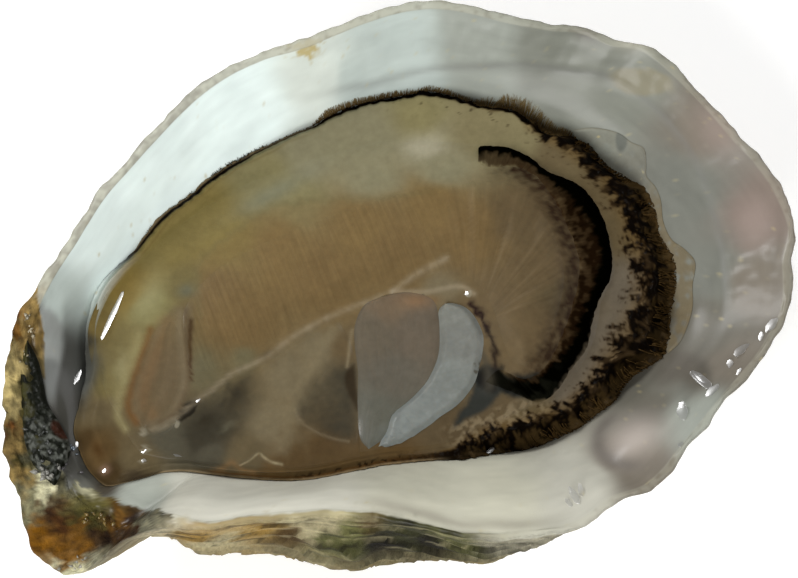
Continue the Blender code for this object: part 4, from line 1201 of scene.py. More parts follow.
def detail_paint(plan, flat, paint):
    """The marks of the inner parts: the crack by the palps, the clear hollows, the dark ends, and painted
    highlights.
    """
    ragged = fuzz(flat, 1.1, 62, 2)
    loose = plan + 0.35 * np.stack([ragged, fuzz(flat, 1.3, 68, 2)], 1)
    uneven = 0.7 * plan + 0.3 * loose
    x, y = plan.T
    palps = [
        (tone(106, 87, 56), 0.42 * patch(loose, GILL_BED, 1.0)),
        (tone(94, 88, 60), 0.30 * stroke(loose, GILL_EDGE, 0.45) * smooth(-x, -13, -5)),
        (tone(90, 78, 58), 0.60 * patch(plan, PALP_LENS, 0.6)),
        (tone(102, 78, 50), 0.50 * stroke(plan, RUSTY + [2.1, 0.2], 1.2, 0.9)),
        (tone(112, 100, 78), 0.45 * stroke(plan, PALP_EDGE, 0.45, 0.6)),
        (tone(74, 58, 40), 0.40 * stroke(plan, PALP_EDGE + [0.8, 0.1], 0.30, 0.35)),
        (tone(94, 62, 26), 0.70 * stroke(uneven, RUSTY, 0.5)),
        # The pale stroke left of the rusty streak and the pale spot at (-33.4, 3) are painted highlight.
        (tone(150, 142, 100), 0.35 * stroke(plan, RUSTY - [1.5, 0.3], 0.7, 0.5)),
        (tone(138, 132, 96), 0.5 * spot(loose, -33.4, 3.0, 0.8, 2.0, -32)),
        (tone(64, 60, 46), 0.5 * spot(loose, -35.9, 3.2, 0.45, 1.5, -10)),
        (tone(56, 38, 16), 0.9 * stroke(uneven, CRACK, 0.38, 0.18)),
    ]
    deep = 0.60 + 0.30 * smooth(x - 0.4 * y, -10.5, -4.0) + 0.1 * ragged
    hollows = [
        (GUT, (0.72 + 0.25 * ragged) * patch(loose, GUT_HOLLOW, 2.0)),
        (GUT_DARK, 0.75 * spot(loose, -25.4, -6.4, 1.3, 0.8, 20)),
        (GUT_DARK * 1.2, 0.8 * spot(loose, -21.2, -4.7, 1.7, 1.0, 40)),
        (tone(96, 92, 74), 0.35 * spot(loose, -23.2, -7.8, 1.2, 0.5, 30)),
        (GUT_DARK * 0.5, smooth(spot(plan, -27.2, -4.6, 1.9, 0.8, 30) + 0.12 * ragged, 0.3, 0.6)),
        (GUT_DARK, 0.45 * spot(plan, -16.2, -1.15, 1.3, 0.45, 12)),
        (STRAW_SKIN * 1.15, 0.7 * stroke(loose, STRIP, 0.7, 1.2)),
        (GUT, deep * patch(0.6 * loose + 0.4 * plan, HEART_HOLLOW, 1.3)),
        (tone(40, 31, 18), 0.9 * patch(plan, DARKEST, 0.3)),
        (tone(116, 104, 82), 0.45 * stroke(plan, HOLLOW_BRIM, 0.2)),
        (tone(150, 138, 108), (0.6 + 0.3 * ragged) * stroke(plan, THIN_FOLD, 0.12, 0.20)),
        (tone(120, 108, 84), 0.6 * stroke(plan, CORD, 0.28, 0.2)),
    ]
    pale = smooth(fuzz(flat, 0.9, 69, 2), -0.3, 0.4) * window(x, 0, 4, 13, 16) * smooth(-y, 15.6, 16.6)
    ridge = stroke(plan, MEMBRANE, 0.30, 0.45) * (0.8 + 0.3 * ragged) + stroke(plan, BRANCH, 0.35)
    dark_ends = [
        (tone(112, 99, 76), 0.75 * pale),
        (tone(34, 37, 34), 0.95 * patch(0.6 * plan + 0.4 * loose, SLATE_TAIL, 0.50)),
        (tone(8, 8, 5), patch(loose, INKY, 0.5)),
        (tone(112, 82, 50), 0.55 * spot(plan, 4.8, -0.5, 1.6, 0.6, -10)),
        (tone(40, 30, 18), 0.9 * smooth(spot(plan, 4.2, 0.2, 0.5, 0.35, 30), 0.4, 0.7)),
        (tone(26, 10, 5), stroke(loose, RED_LINE, 0.42, 0.30)),
        (tone(28, 18, 10), 0.95 * stroke(loose, NOTCH, 0.30, 0.45)),
        (tone(58, 54, 44), 0.7 * stroke(plan, NOTCH - [1.6, 2.2], 0.5, 0.7)),
        (tone(120, 92, 58), 0.5 * stroke(plan, THIN_FOLD - [3.5, 0.1], 0.5, 0.3)),
        (tone(134, 122, 100), 0.55 * ridge),
    ]
    # Painted highlights: pale spots where small drops catch the light.
    glints = [
        (tone(140, 134, 116), 0.55 * spot(plan, at_x, at_y, 2 * size, 2 * size)
         * smooth(spot(plan, at_x, at_y, size, size * 0.7, 40) + 0.3 * ragged, 0.4, 0.8))
        for at_x, at_y, size in GLINT_SPOTS
    ]
    hinge_marks = [
        (tone(58, 38, 16), 0.75 * spot(plan, -39.0, -6.0, 0.6, 1.2, 12)),
        (tone(146, 118, 100), 0.5 * spot(plan, -38.9, -8.6, 0.6, 0.5)),
    ]
    return lay_coats(paint, *palps, *hollows, *dark_ends, *glints, *hinge_marks)


# %% [markdown]
# ## Wet flesh
# An oyster's skin is thin, wet and slightly see-through. Light enters it a little way, so
# the shader scatters some of it, and a film of liquor over the top gives clear
# reflections. The mantle and its black lip scatter none and are nearly matt.

# %% The materials of the soft parts
def wet_flesh(name, depth=0.15, film=0.3, rough=0.45, streak=0.0, streak_size=(0.3, 6.0), relief=0.05,
              shine=0.15):
    """Wet skin: painted colour with fine mottling and, if asked for, streaks across its flow."""
    skin = Finish(name, Coat_IOR=1.33, Coat_Roughness=0.15, Coat_Weight=film, Subsurface_Weight=depth,
                  Subsurface_Scale=0.0015, Subsurface_Radius=(1.0, 0.6, 0.35), Specular_IOR_Level=shine)
    where = skin.place()
    mottle = skin.grain(where, 0.9, 4.0, 0.6)
    fine = skin.grain(where, 0.22, 2.0)
    colour = skin.mix(skin.attribute("paint"), mottle, 0.22, "SOFT_LIGHT")
    lift = mottle * 0.4 + fine * 0.3
    if streak:
        flow = skin.node("Mapping", None, {"Vector": skin.attribute("flow", "Vector"),
                                           "Scale": (1 / streak_size[0], 1 / streak_size[1], 0)})
        fibre = skin.grain(flow, 1.0, 3.0, 0.5)
        colour = skin.mix(colour, fibre, streak, "SOFT_LIGHT")
        lift = lift + fibre * 0.8
    bumped = skin.bump(lift, 0.6, relief)
    return skin.done(Base_Color=colour, Roughness=mottle * 0.15 + (rough - 0.07), Normal=bumped)


skin_finish = wet_flesh("wet_skin", depth=0.08, film=0.10, rough=0.5, shine=0.08)
gill_finish = wet_flesh("gill_skin", depth=0.12, film=0.12, streak=0.25, streak_size=(0.45, 9.0),
                        relief=0.03, shine=0.1)
mantle_finish = wet_flesh("mantle_skin", depth=0.0, film=0.02, rough=0.6, shine=0.02)
lip_finish = wet_flesh("mantle_lip", depth=0.0, film=0.0, rough=0.6, streak=0.45, streak_size=(0.35, 3.0),
                       shine=0.0)
muscle_finish = wet_flesh("muscle", depth=0.2, film=0.3, streak=0.10, streak_size=(0.5, 5.0))
catch_finish = wet_flesh("tendon", depth=0.2, film=0.15, streak=0.08, streak_size=(0.6, 4.0), rough=0.5,
                         relief=0.03)
print("finishes of the soft parts:", [made.name for made in (skin_finish, gill_finish, mantle_finish,
                                                             lip_finish, muscle_finish, catch_finish)])

# %% [markdown]
# ## Cushions between two edges
# A soft organ is a cushion with a long axis. It starts as a ball whose poles go to its two
# ends. Each row is a section between an outer and an inner edge, with most of its columns
# spent on the top, which shows. The border of the top sinks into the skin around it, so
# that neighbours meet as flesh does, without a gap.

# %% Laying a cushion
TOP_PART = 0.78              # of a section's columns that lie on its top


def lay_cushion(row, column, rows, columns, outer, inner, swell, sink=0.35, floor_gap=0.5, slope=0.35,
                lie=flesh_top):
    """Points of a cushion, the share along it, the side across it (1 outer, -1 inner) and the
    distance to its border."""
    share = row / rows
    turn = column / columns
    on_top = turn < TOP_PART
    side = np.where(on_top, np.cos(pi * turn / TOP_PART), -np.cos(pi * (turn - TOP_PART) / (1 - TOP_PART)))
    side = np.where(on_top, np.sign(side) * np.abs(side) ** 0.85, side)
    a, b = at_share(curve(outer, 400), share), at_share(curve(inner, 400), share)
    plan = (a + b) / 2 + (a - b) / 2 * side[:, None]
    width = np.hypot(*(a - b).T)
    border = np.clip((1 - np.abs(side)) * width / 2, 0, None)
    top = lie(plan) + swell(plan, share, side, border) - sink * np.exp(-border / slope)
    bed = nacre_height(plan) + floor_gap
    bottom = np.minimum(bed + 0.15 * width * np.abs(side) ** 4, top - 0.3)
    height = np.where(on_top, top, bottom)
    return at_level(plan, height), share, side, border


BODY_GRID = (130, 440)
UNDER_PART = 0.22            # of the body's rows that lie on its underside


def body_form(row, column):
    """The body under all the organs: its top is the height map, its underside lies over the nacre."""
    rows, columns = BODY_GRID
    angle = column * 360 / columns
    edge = around(BODY_EDGE, angle) + 0.8
    under = rows * UNDER_PART
    share = np.where(row <= under, row / under, (rows - row) / (rows - under))
    reach = edge * np.where(row <= under, share ** 0.7, share ** 0.9)
    plan = on_plan(angle, reach)
    top = flesh_top(plan) - 0.5 * (1 - smooth(edge - reach, 0, 0.8))
    bottom = np.minimum(nacre_height(plan) + 0.5, top - 0.3)
    points = at_level(plan, np.where(row <= under, bottom, top))
    return points, {"paint": flesh_paint(points)}


body = form_ball("body_skin", *BODY_GRID, body_form)
settle(body, skin_finish, "viscera", "visceral_mass")

# %% [markdown]
# The mantle is a sheet round the body. Its outer part lies up against the nacre and ends
# in a dark, ragged border with feelers. It starts as a round ring, which is then drawn out
# between the body's edge and the border's.

# %% The mantle ring
RING_STEPS, RING_SECTION = 640, 64


def tyre(up, round_it):
    """A ring of radius 2 with a round section of radius 0.5."""
    b = 2 * pi * up
    return at_level(on_plan(360 * round_it, 2 + 0.5 * np.cos(b)), 0.5 * np.sin(b))


def ring_form():
    bm = rolled_grid(RING_SECTION, RING_STEPS, tyre)
    co = np.array([v.co for v in bm.verts])
    angle, middle = polar(co)
    turn = np.degrees(np.arctan2(co[:, 2], middle - 2)) % 360 / 360
    on_top = turn < TOP_PART
    across = np.where(on_top, np.maximum(1 - turn / TOP_PART, 0) ** 1.15, (turn - TOP_PART) / (1 - TOP_PART))
    low = around(BODY_EDGE, angle) - 1.6
    flat = at_level(on_plan(angle, 30))
    frilled = 0.16 * fuzz(flat, 1.1, 41) + 0.08 * fuzz(flat, 0.5, 42)
    high = around(FRINGE, angle) + frilled * np.clip(around(FRINGE, angle, 2), 0.3, 2.4)
    reach = low + (high - low) * across
    far, plan = high - reach, on_plan(angle, reach)
    bed = nacre_height(plan) + 0.10
    dive = 0.6 * (1 - smooth(reach - low, 0.2, 1.4))
    top = np.maximum(mantle_top(plan, far) - dive + mantle_ruffle(plan, far), bed + 0.08)
    return bm, at_level(plan, np.where(on_top, top, bed))


def mantle_ruffle(plan, far):
    """The curly relief of the dark border, far inside its edge."""
    wide = around(FRINGE, polar(plan)[0], 2)
    flat = at_level(plan)
    fold = 0.16 * fuzz(flat, 1.3, 43, 2) + 0.07 * fuzz(flat, 0.45, 44)
    return np.exp(-(far / (wide + 0.2)) ** 4) * smooth(far, 0, 0.5) * np.clip(wide, 0, 2.5) * fold


def mantle_top(plan, far):
    """Height of the mantle's top, which thins out on to the nacre at its edge, far away."""
    angle = polar(plan)[0]
    edge_top = nacre_height(plan) + 0.25
    spare = around(FRINGE, angle) - around(BODY_EDGE, angle) - 2.4
    drape = np.clip(spare, 0, 1.6) * window(angle, 135, 155, 200, 212)
    rise = smooth(far, -0.3, 1.2 + 0.35 * around(FRINGE, angle, 2) + drape)
    return edge_top - 0.08 * drape + (flesh_top(plan) + 0.01 - edge_top) * rise


def ring_paint(points):
    """The mantle's colours; at the hinge end it is so thin that the wet nacre shows through."""
    angle, far = polar(points)[0], inward(points)
    skirt = window(angle, 192, 199, 262, 275) + window(angle, 90, 96, 146, 150)
    return lay_coats(
        flesh_paint(points),
        (pearl_paint(points, angle), 0.9 * window(angle, 148, 160, 177, 184) * (1 - smooth(far, 0.0, 2.4))),
        (tone(140, 122, 92), 0.6 * skirt * (1 - smooth(far, 0.05, 0.45))),
    )


bm, points = ring_form()
ring = as_piece("mantle_ring", bm, points, ring_paint(points))
settle(ring, mantle_finish, "mantle", "lower_mantle")

# %% [markdown]
# The gills are stacked leaves of fine bars. Through the skin they show faintly, as close,
# even lines across the mound, which fan out round its far end into pale rays.

# %% Gills
GILL_GRID = (640, 56)
BAR_GAP, BAR_FAN = 0.65, (8.0, -6.0)


def gill_form(row, column):
    def swell(plan, share, side, border):
        inside = smooth(border, 0.2, 2.5)
        line = np.sin(bar_place(plan) * 2 * pi / BAR_GAP + 0.8 * np.sin(plan[:, 0] * 0.7))
        return 0.06 * inside + 0.006 * smooth(border, 1.5, 4) * line * (1 - smooth(plan[:, 0], 6, 12))

    points, _, side, border = lay_cushion(row, column, *GILL_GRID, GILL_OUTER, GILL_INNER, swell, 0.06,
                                          slope=0.8)
    place = bar_place(points[:, :2])
    flow = np.column_stack([place, points[:, 1], place * 0])
    rays = fuzz(np.column_stack([place, side * 0.5, place * 0]), 0.8, 45, 2)
    fan = smooth(points[:, 0], 9, 14) * smooth(border, 0.5, 3.0)
    paint = lay_coats(
        flesh_paint(points),
        (tone(150, 134, 108), 0.10 * fan * smooth(rays, 0.15, 0.8)),
        (UMBER, 0.06 * fan * smooth(-rays, 0.15, 0.7)),
    )
    return points, {"paint": paint, "flow": flow}


def bar_place(plan):
    """Where a point lies across the bars, which stand upright and then fan round the far end."""
    x, y = plan[:, 0] - BAR_FAN[0], plan[:, 1] - BAR_FAN[1]
    return np.where(x < 0, x + 0.06 * y, 10.0 * np.arctan2(np.maximum(x, 0), np.maximum(y, 0.5)) + 0.06 * y)


gills = form_ball("gill_mound", *GILL_GRID, gill_form)
settle(gills, gill_finish, "gills", "gills")

# %% [markdown]
# The upper mantle was lifted with the lid and has shrunk back into a black, rolled lip
# round the end of the gills. Its dark colour runs inwards as a brown bleed.

# %% The black lip
LIP_GRID = (520, 60)
LIP_BLACK, LIP_BROWN, LIP_TAN, LIP_GREEN = tone(1, 1, 0), tone(20, 11, 4), tone(46, 34, 20), tone(14, 14, 9)
BAND_SHARES = [0, 0.03, 0.07, 0.14, 0.21, 0.30, 0.36, 0.45, 0.53, 0.60, 0.70, 0.78, 0.88, 1]
BLACK_FROM = [-0.2, 0.0, 0.10, 0.05, -0.15, -0.20, 0.0, 0.20, 0.10, 0.0, -0.05, -0.5, -0.6, -0.6]


def lip_form(row, column):
    def swell(plan, share, side, border):
        roll = bell(side, 0.45, 0.38)
        ripple = 0.12 * fuzz(at_level(plan), 1.0, 51, 2)
        body = (0.40 * roll + ripple * (0.3 + roll)) * window(share, 0.0, 0.06, 0.86, 1.0)
        return body + 0.10 * smooth(border, 0, 0.8)

    points, share, side, border = lay_cushion(row, column, *LIP_GRID, LIP_OUTER, LIP_INNER, swell, 0.16)
    flat = np.column_stack([share * 62, side * 1.4, share * 0])
    inner = side + 0.22 * fuzz(flat, 0.9, 52, 3) + 0.12 * fuzz(flat, 4.0, 53)
    blotch = fuzz(at_level(points[:, :2]), 1.2, 55, 2)
    black_from = np.interp(share, BAND_SHARES, BLACK_FROM)
    band, fresh = 1 - 0.6 * smooth(share, 0.90, 1.0), smooth(share, 0.22, 0.32)
    brown = lay(np.tile(LIP_TAN * 0.8, (len(points), 1)), LIP_BROWN, fresh * smooth(blotch, -0.6, 0.1))
    tail = smooth(share, 0.74, 0.84) * smooth(fuzz(flat, 1.6, 54, 2), -0.2, 0.4)
    soft_side = smooth(share, 0.60, 0.72) * smooth(side + 0.15 * blotch, 0.72, 0.98)
    skin = flesh_paint(points)
    paint = lay_coats(
        skin,
        (LIP_TAN, 0.8 * band * smooth(inner + 0.1 * blotch, -0.98, -0.55)),
        (brown, band * (0.5 + 0.5 * fresh) * smooth(inner + 0.25 * blotch, -0.85, -0.35)),
        (LIP_BLACK, band * smooth(inner, black_from - 0.20, black_from + 0.30)),
        (LIP_BLACK, 0.9 * spot(points, 17.0, 16.2, 0.6, 1.0, 10)),
        (LIP_GREEN, 0.8 * tail * smooth(inner, -0.7, 0)),
        (skin, smooth(share, 0.88, 0.95)),
        (skin, 0.75 * soft_side),
    )
    return points, {"paint": paint, "flow": flat}


lip = form_ball("mantle_lip", *LIP_GRID, lip_form)
settle(lip, lip_finish, "mantle_band", "upper_mantle")

# %% [markdown]
# Four small leaves, the palps, guide food to the mouth at the hinge end. They lie so close
# together that one cushion with soft, lengthwise folds stands for them.

# %% Palps
PALP_GRID = (150, 70)


def palp_form(row, column):
    def swell(plan, share, side, border):
        leaf = np.cos(leaves(share, side)) * smooth(share, 0.05, 0.35)
        return 0.18 * smooth(border, 0, 2.2) * smooth(share, 0, 0.3) + 0.04 * leaf * smooth(border, 0.3, 1.6)

    points, share, side, border = lay_cushion(row, column, *PALP_GRID, PALPS_OUTER, PALPS_INNER, swell, 0.08)
    between = smooth(-np.cos(leaves(share, side)), 0.0, 1.0) * smooth(border, 0.2, 1.2)
    return points, {"paint": lay(flesh_paint(points), UMBER, 0.35 * between)}


def leaves(share, side):
    """The phase of the palps' folds, which run lengthways and drift a little."""
    return (side * 1.3 + 0.35 * np.sin(share * 3.5) + 0.2) * 2 * pi


palps = form_ball("lip_palps", *PALP_GRID, palp_form)
settle(palps, skin_finish, "palps", "labial_palps")

# %% [markdown]
# The heart chamber lies between the gills and the closing muscle. Its wall is so clear
# that the dark gut shows through, with folds of paler skin over it.

# %% Heart chamber
HEART_GRID = (300, 120)


def heart_form(row, column):
    def swell(plan, share, side, border):
        folds = 0.15 * stroke(plan, STRIP, 1.1, 1.8) + 0.06 * stroke(plan, HOLLOW_BRIM, 0.3) \
            + 0.12 * stroke(plan, THIN_FOLD, 0.22) + 0.07 * stroke(plan, CORD, 0.3)
        pit = 0.15 * patch(plan, HEART_HOLLOW, 1.0)
        return 0.06 * smooth(border, 0, 1) + (folds - pit) * smooth(border, 0.1, 1.2)

    points = lay_cushion(row, column, *HEART_GRID, HEART_OUTER, HEART_INNER, swell, 0.05)[0]
    return points, {"paint": flesh_paint(points)}


heart_finish = wet_flesh("clear_wall", depth=0.1, film=0.2, rough=0.45, shine=0.08)
heart = form_ball("heart_chamber", *HEART_GRID, heart_form)
settle(heart, heart_finish, "pericardium", "pericardium")

# %% [markdown]
# The closing muscle was cut through when the lid came off, so it shows its cut face. It
# has two parts: the quick one is grey and glassy, and the catch, which can hold for days,
# is a dense, pale crescent of fibres.

# %% Washes of the two muscles: (x, y, reach, colour)
MUSCLE_GRID = (200, 80)
QUICK = [
    (0, 0.5, 2.5, tone(98, 84, 66)), (-3, -2.5, 3, tone(89, 81, 67)), (2, -4, 3, tone(88, 79, 66)),
    (-2, -8, 3, tone(85, 80, 69)), (-5.5, -12, 3, tone(82, 81, 71)), (-5, -14.5, 2, tone(88, 89, 81)),
]
CATCH = [
    (8, -3, 2.5, tone(108, 109, 102)), (7.5, -7, 3, tone(102, 103, 97)),
    (4.5, -11, 3, tone(106, 109, 104)), (0, -14, 3, tone(110, 114, 110)),
    (-5, -15.5, 2, tone(112, 116, 112)),
]


# %% The quick muscle
def quick_form(row, column):
    def swell(plan, share, side, border):
        return 0.18 * smooth(border, 0, 2.2) + 0.08

    points, share, side, border = lay_cushion(row, column, *MUSCLE_GRID, QUICK_OUTER, QUICK_INNER, swell, 0.2)
    flat = np.column_stack([side * 5, share * 18, share * 0])
    paint = lay_coats(
        ground(points, QUICK) * (1 + 0.05 * fuzz(flat, 1.6, 63, 2))[:, None],
        (tone(122, 92, 62), 0.6 * spot(points, 3.4, -0.1, 2.0, 0.9, -15)),
        (tone(74, 67, 54), 0.7 * (1 - smooth(border, 0.0, 0.8)) * smooth(side, 0, 0.5)),
    )
    return points, {"paint": paint, "flow": flat}


quick = form_ball("quick_muscle", *MUSCLE_GRID, quick_form)
settle(quick, muscle_finish, "quick_muscle", "adductor_quick")


# %% The catch muscle
def catch_form(row, column):
    def swell(plan, share, side, border):
        fibre = fuzz(at_level(plan), 1.3, 64, 3)
        return 0.65 * smooth(border, 0, 1.2) + 0.05 * fibre * smooth(border, 0.1, 0.8)

    points, share, side, _ = lay_cushion(row, column, *MUSCLE_GRID, CATCH_OUTER, CATCH_INNER, swell, 0.15)
    frayed = smooth(share, 0.62, 0.95) * (0.5 + 0.5 * (side > 0))
    flat = at_level(points[:, :2])
    points[:, :2] += 0.30 * (fuzz(flat, 0.8, 65, 2) * frayed)[:, None] * [0.8, 1]
    scar = smooth(spot(points, 8.6, -10.2, 1.6, 0.8, 40) + 0.6 * fuzz(flat, 0.5, 67), 0.55, 0.9)
    paint = ground(points, CATCH) * (1 + 0.08 * fuzz(flat, 1.5, 66, 3))[:, None]
    paint = lay(paint, tone(60, 54, 40), 0.8 * scar)
    return points, {"paint": paint, "flow": np.column_stack([share * 22, side * 3, share * 0])}


catch = form_ball("catch_muscle", *MUSCLE_GRID, catch_form)
settle(catch, catch_finish, "catch_muscle", "adductor_catch")

# %% [markdown]
# ## The frill
# The mantle's edge carries small feelers, close together. At the top they stand in a fine
# comb past the black line, and at the bill they crowd over its dark, ragged border. Each is
# a small tapering tube of five rings, and all are one mesh. Their lean follows a soft noise
# along the edge, so that neighbours keep together.

# %% Feelers
FEELERS, FEELER_RINGS, FEELER_SIDES = 2800, 5, 5
FEELER_TIP, COMB_HAIR, COMB_TIP = tone(64, 48, 24), tone(86, 68, 40), tone(124, 108, 74)


def lie_of_skin(plan):
    """Height of what a thing laid on the plan rests on: the mantle and the flesh, or the nacre."""
    far = inward(plan)
    skin = mantle_top(plan, far) + mantle_ruffle(plan, far)
    return np.where(far > 0, np.maximum(skin, nacre_height(plan)), nacre_height(plan))


def comb_share(angle):
    """1 along the fine comb at the top of the edge, 0 elsewhere."""
    return window(angle, 25, 32, 92, 100)


def feeler_bases():
    """Angle, depth inside the edge and length of every feeler."""
    angle = RANDOM.uniform(0, 360, FEELERS * 4)
    crowd = smooth(around(FRINGE, angle, 3), 0.12, 0.5) * (0.45 + 0.55 * comb_share(angle))
    angle = angle[RANDOM.uniform(size=len(angle)) < crowd][:FEELERS]
    wide, out = around(FRINGE, angle, 2), around(FRINGE, angle, 3)
    depth = wide * (0.5 - 0.35 * comb_share(angle)) * RANDOM.uniform(size=len(angle)) ** 2
    length = (depth * 0.7 + out) * RANDOM.uniform(0.5, 1.05, len(angle))
    return angle, depth, length


def tube_faces(rings, sides, root, tip):
    """Faces of a tube of rings, closed by fans to the points numbered root and tip."""
    faces = []
    for side in range(sides):
        beside = (side + 1) % sides
        for low in range(0, (rings - 1) * sides, sides):
            faces.append([low + side, low + beside, low + sides + beside, low + sides + side])
        last = (rings - 1) * sides
        faces.append([beside, side, root])
        faces.append([last + side, last + beside, tip])
    return faces


# %% Laying the feelers
angle, depth, length = feeler_bases()
count = len(angle)
base = on_plan(angle, around(FRINGE, angle) - depth)
near = at_level(base)
lean = np.radians(angle) + 0.7 * fuzz(near, 1.6, 71) + RANDOM.normal(0, 0.15, count)
thick = (0.04 + 0.045 * smooth(around(FRINGE, angle, 2), 1.2, 4)) * RANDOM.uniform(0.7, 1.3, count)
arch = RANDOM.uniform(0.02, 0.12, count)
share = np.linspace(0, 1, FEELER_RINGS)
ahead = np.stack([np.cos(lean), np.sin(lean)], 1)
middle = base[:, None] + ahead[:, None] * (length[:, None] * share)[..., None]
rest = lie_of_skin(middle.reshape(-1, 2)).reshape(count, FEELER_RINGS)
level = rest + thick[:, None] * 0.6 + (arch * length)[:, None] * np.sin(pi * share)
turn = 2 * pi * np.arange(FEELER_SIDES) / FEELER_SIDES
taper = thick[:, None] * (1 - 0.7 * share)
out, up = taper[..., None] * np.cos(turn), taper[..., None] * np.sin(turn)
aside = np.stack([-ahead[:, 1], ahead[:, 0]], 1)
tube = np.concatenate([middle[:, :, None] + aside[:, None, None] * out[..., None],
                       (level[..., None] + up)[..., None]], 3).reshape(count, -1, 3)
root = at_level(base, level[:, 0])[:, None]
tip = at_level(middle[:, -1] + ahead * thick[:, None] * 0.5, level[:, -1])[:, None]
points = np.concatenate([tube, root, tip], 1)
size = points.shape[1]
faces = tube_faces(FEELER_RINGS, FEELER_SIDES, size - 2, size - 1)
comb = comb_share(angle)
hue = fringe_paint(base, near, np.tile(FRINGE_BROWN, (count, 1))) * RANDOM.uniform(0.6, 1.1, (count, 1))
hue = lay_coats(hue, (FEELER_TIP, np.full(count, 0.7)), (COMB_HAIR, 0.75 * comb))
end = FEELER_TIP + (COMB_TIP - FEELER_TIP) * comb[:, None]
along = 0.6 * np.concatenate([np.repeat(share, FEELER_SIDES), [0, 1]])[None, :, None]
paint = hue[:, None] * (1 - along) + end[:, None] * along
shape = joined(points.reshape(-1, 3), copies(faces, size, count))
feelers = as_piece("frill_feelers", shape, points.reshape(-1, 3), paint.reshape(-1, 3))
settle(feelers, mantle_finish, "mantle")

# %% [markdown]
# Past the frill at the bill the mantle's thinnest rim lies on the pearl in a few clear
# lobes. It is one thin, scalloped cushion, painted in the nacre's colours with a tan wash
# over them, and a grey painted shadow in one lobe.

# %% The clear rim
VEIL = [
    (-27, 34.6), (-24, 36), (-18, 37.2), (-13, 37.5), (-9, 38.2), (-6, 37.4), (-3, 36.2), (1, 36),
    (5, 36.7), (8, 36.9), (11, 36.7), (13, 37.4), (15.5, 38.1), (18, 37.4), (21, 36.9), (25, 35.4),
    (28.5, 33.6),
]
VEIL_GRID = (220, 50)


def veil_form(row, column):
    def swell(plan, share, side, border):
        return 0.16 * smooth(border, 0, 0.5)

    angle, reach = np.array(VEIL).T
    within = around(FRINGE, angle) - 0.8
    within[[0, -1]] = reach[[0, -1]]
    points, _, side, border = lay_cushion(row, column, *VEIL_GRID, on_plan(angle, reach),
                                          on_plan(angle, within), swell, 0.05, 0.02,
                                          lie=lambda plan: nacre_height(plan) + 0.14)
    angle = polar(points)[0]
    tan = 0.15 + 0.6 * (1 - smooth((angle + 30) % 360, 33, 42))
    return points, {"paint": lay_coats(
        pearl_paint(points, angle) * 1.06,
        (tone(104, 92, 68), tan * smooth(fuzz(points, 1.5, 73, 2), -0.9, 0.2)),
        (tone(98, 86, 62), 0.3 * bell(border, 0, 0.12) * (side > 0)),
        # A grey painted shadow inside the first lobe.
        (tone(92, 94, 88), 0.8 * smooth(spot(points, 34.6, 12.4, 1.5, 0.8, 75), 0.3, 0.6)),
    )}


veil = form_ball("clear_rim", *VEIL_GRID, veil_form)
settle(veil, mantle_finish, "mantle")

# %% [markdown]
# ## The torn hinge
# The ligament is a dark, rubbery pad that sprang the valves apart. When the oyster was
# opened it tore, and it left a ragged black-green strip with splinters of shell in it.

# %% Ligament
LIGAMENT_OUTER = [
    (-43.2, 8.6), (-44.6, 6.4), (-45.6, 4), (-46.4, 1), (-47.1, -2.4), (-46.8, -6), (-45.2, -8.8),
]
LIGAMENT_INNER = [
    (-43.2, 8.6), (-42.7, 6), (-42.9, 3.4), (-43.1, 1), (-42.4, -2), (-42.2, -5.4), (-45.2, -8.8),
]
LIGAMENT_GRID = (180, 110)
LIGAMENT_BLACK, LIGAMENT_GREEN, LIGAMENT_RED = tone(12, 14, 6), tone(50, 48, 22), tone(46, 20, 8)
LIGAMENT_GREY, LIGAMENT_PALE = tone(50, 52, 46), tone(84, 86, 80)


def plate_height(plan):
    """Height of the hinge plate, from the rim's outer edge inwards."""
    angle, reach = polar(plan)
    share = np.clip((around(RIM, angle) - reach) / around(RIM_TOP, angle), 0, 1)
    return around(RIM, angle, 2) + around(RIM_RISE, angle) * share


def ligament_form(row, column):
    def swell(plan, share, side, border):
        flat = at_level(plan)
        lumps = 0.35 * fuzz(flat, 1.6, 74, 2) + 0.15 * np.abs(fuzz(flat, 0.8, 75, 2))
        return (0.35 + lumps) * smooth(border, 0, 0.6) - 0.3 * spot(plan, -43.6, 3.0, 1.0, 3.0, 0)

    points, _, side, _ = lay_cushion(row, column, *LIGAMENT_GRID, LIGAMENT_OUTER, LIGAMENT_INNER, swell,
                                     0.3, lie=plate_height)
    fine, coarse = fuzz(points, 0.8, 76, 3), fuzz(points, 1.6, 77, 2)
    low_end = 1 - smooth(points[:, 1], -2.0, 1.5)
    return points, {"paint": lay_coats(
        np.tile(LIGAMENT_BLACK, (len(points), 1)),
        (LIGAMENT_GREEN, smooth(coarse, -0.1, 0.5) * smooth(side, -0.2, 0.6)),
        # The grey and pale paint of the lower end is partly the torn pad's grey and partly its wet sheen,
        # painted as reflection.
        (LIGAMENT_GREY, 0.9 * low_end * smooth(fine + 0.6 * coarse, -0.5, 0.3)),
        (LIGAMENT_PALE, 0.7 * low_end * smooth(fine, 0.1, 0.6)),
        (LIGAMENT_RED, 0.9 * smooth(spot(points, -42.6, -2.6, 0.9, 1.5, 25), 0.25, 0.6)),
    )}


ligament_finish = wet_flesh("ligament_skin", depth=0.0, film=0.06, rough=0.5, relief=0.15, shine=0.1)
ligament = form_ball("torn_ligament", *LIGAMENT_GRID, ligament_form)
settle(ligament, ligament_finish, "hinge_ligament", "hinge_ligament")

# %% [markdown]
# The splinters are eight-sided chips, knocked out of shape and strewn in a few places:
# grey and blue-white in the torn ligament, cream and brown round the hinge plate.

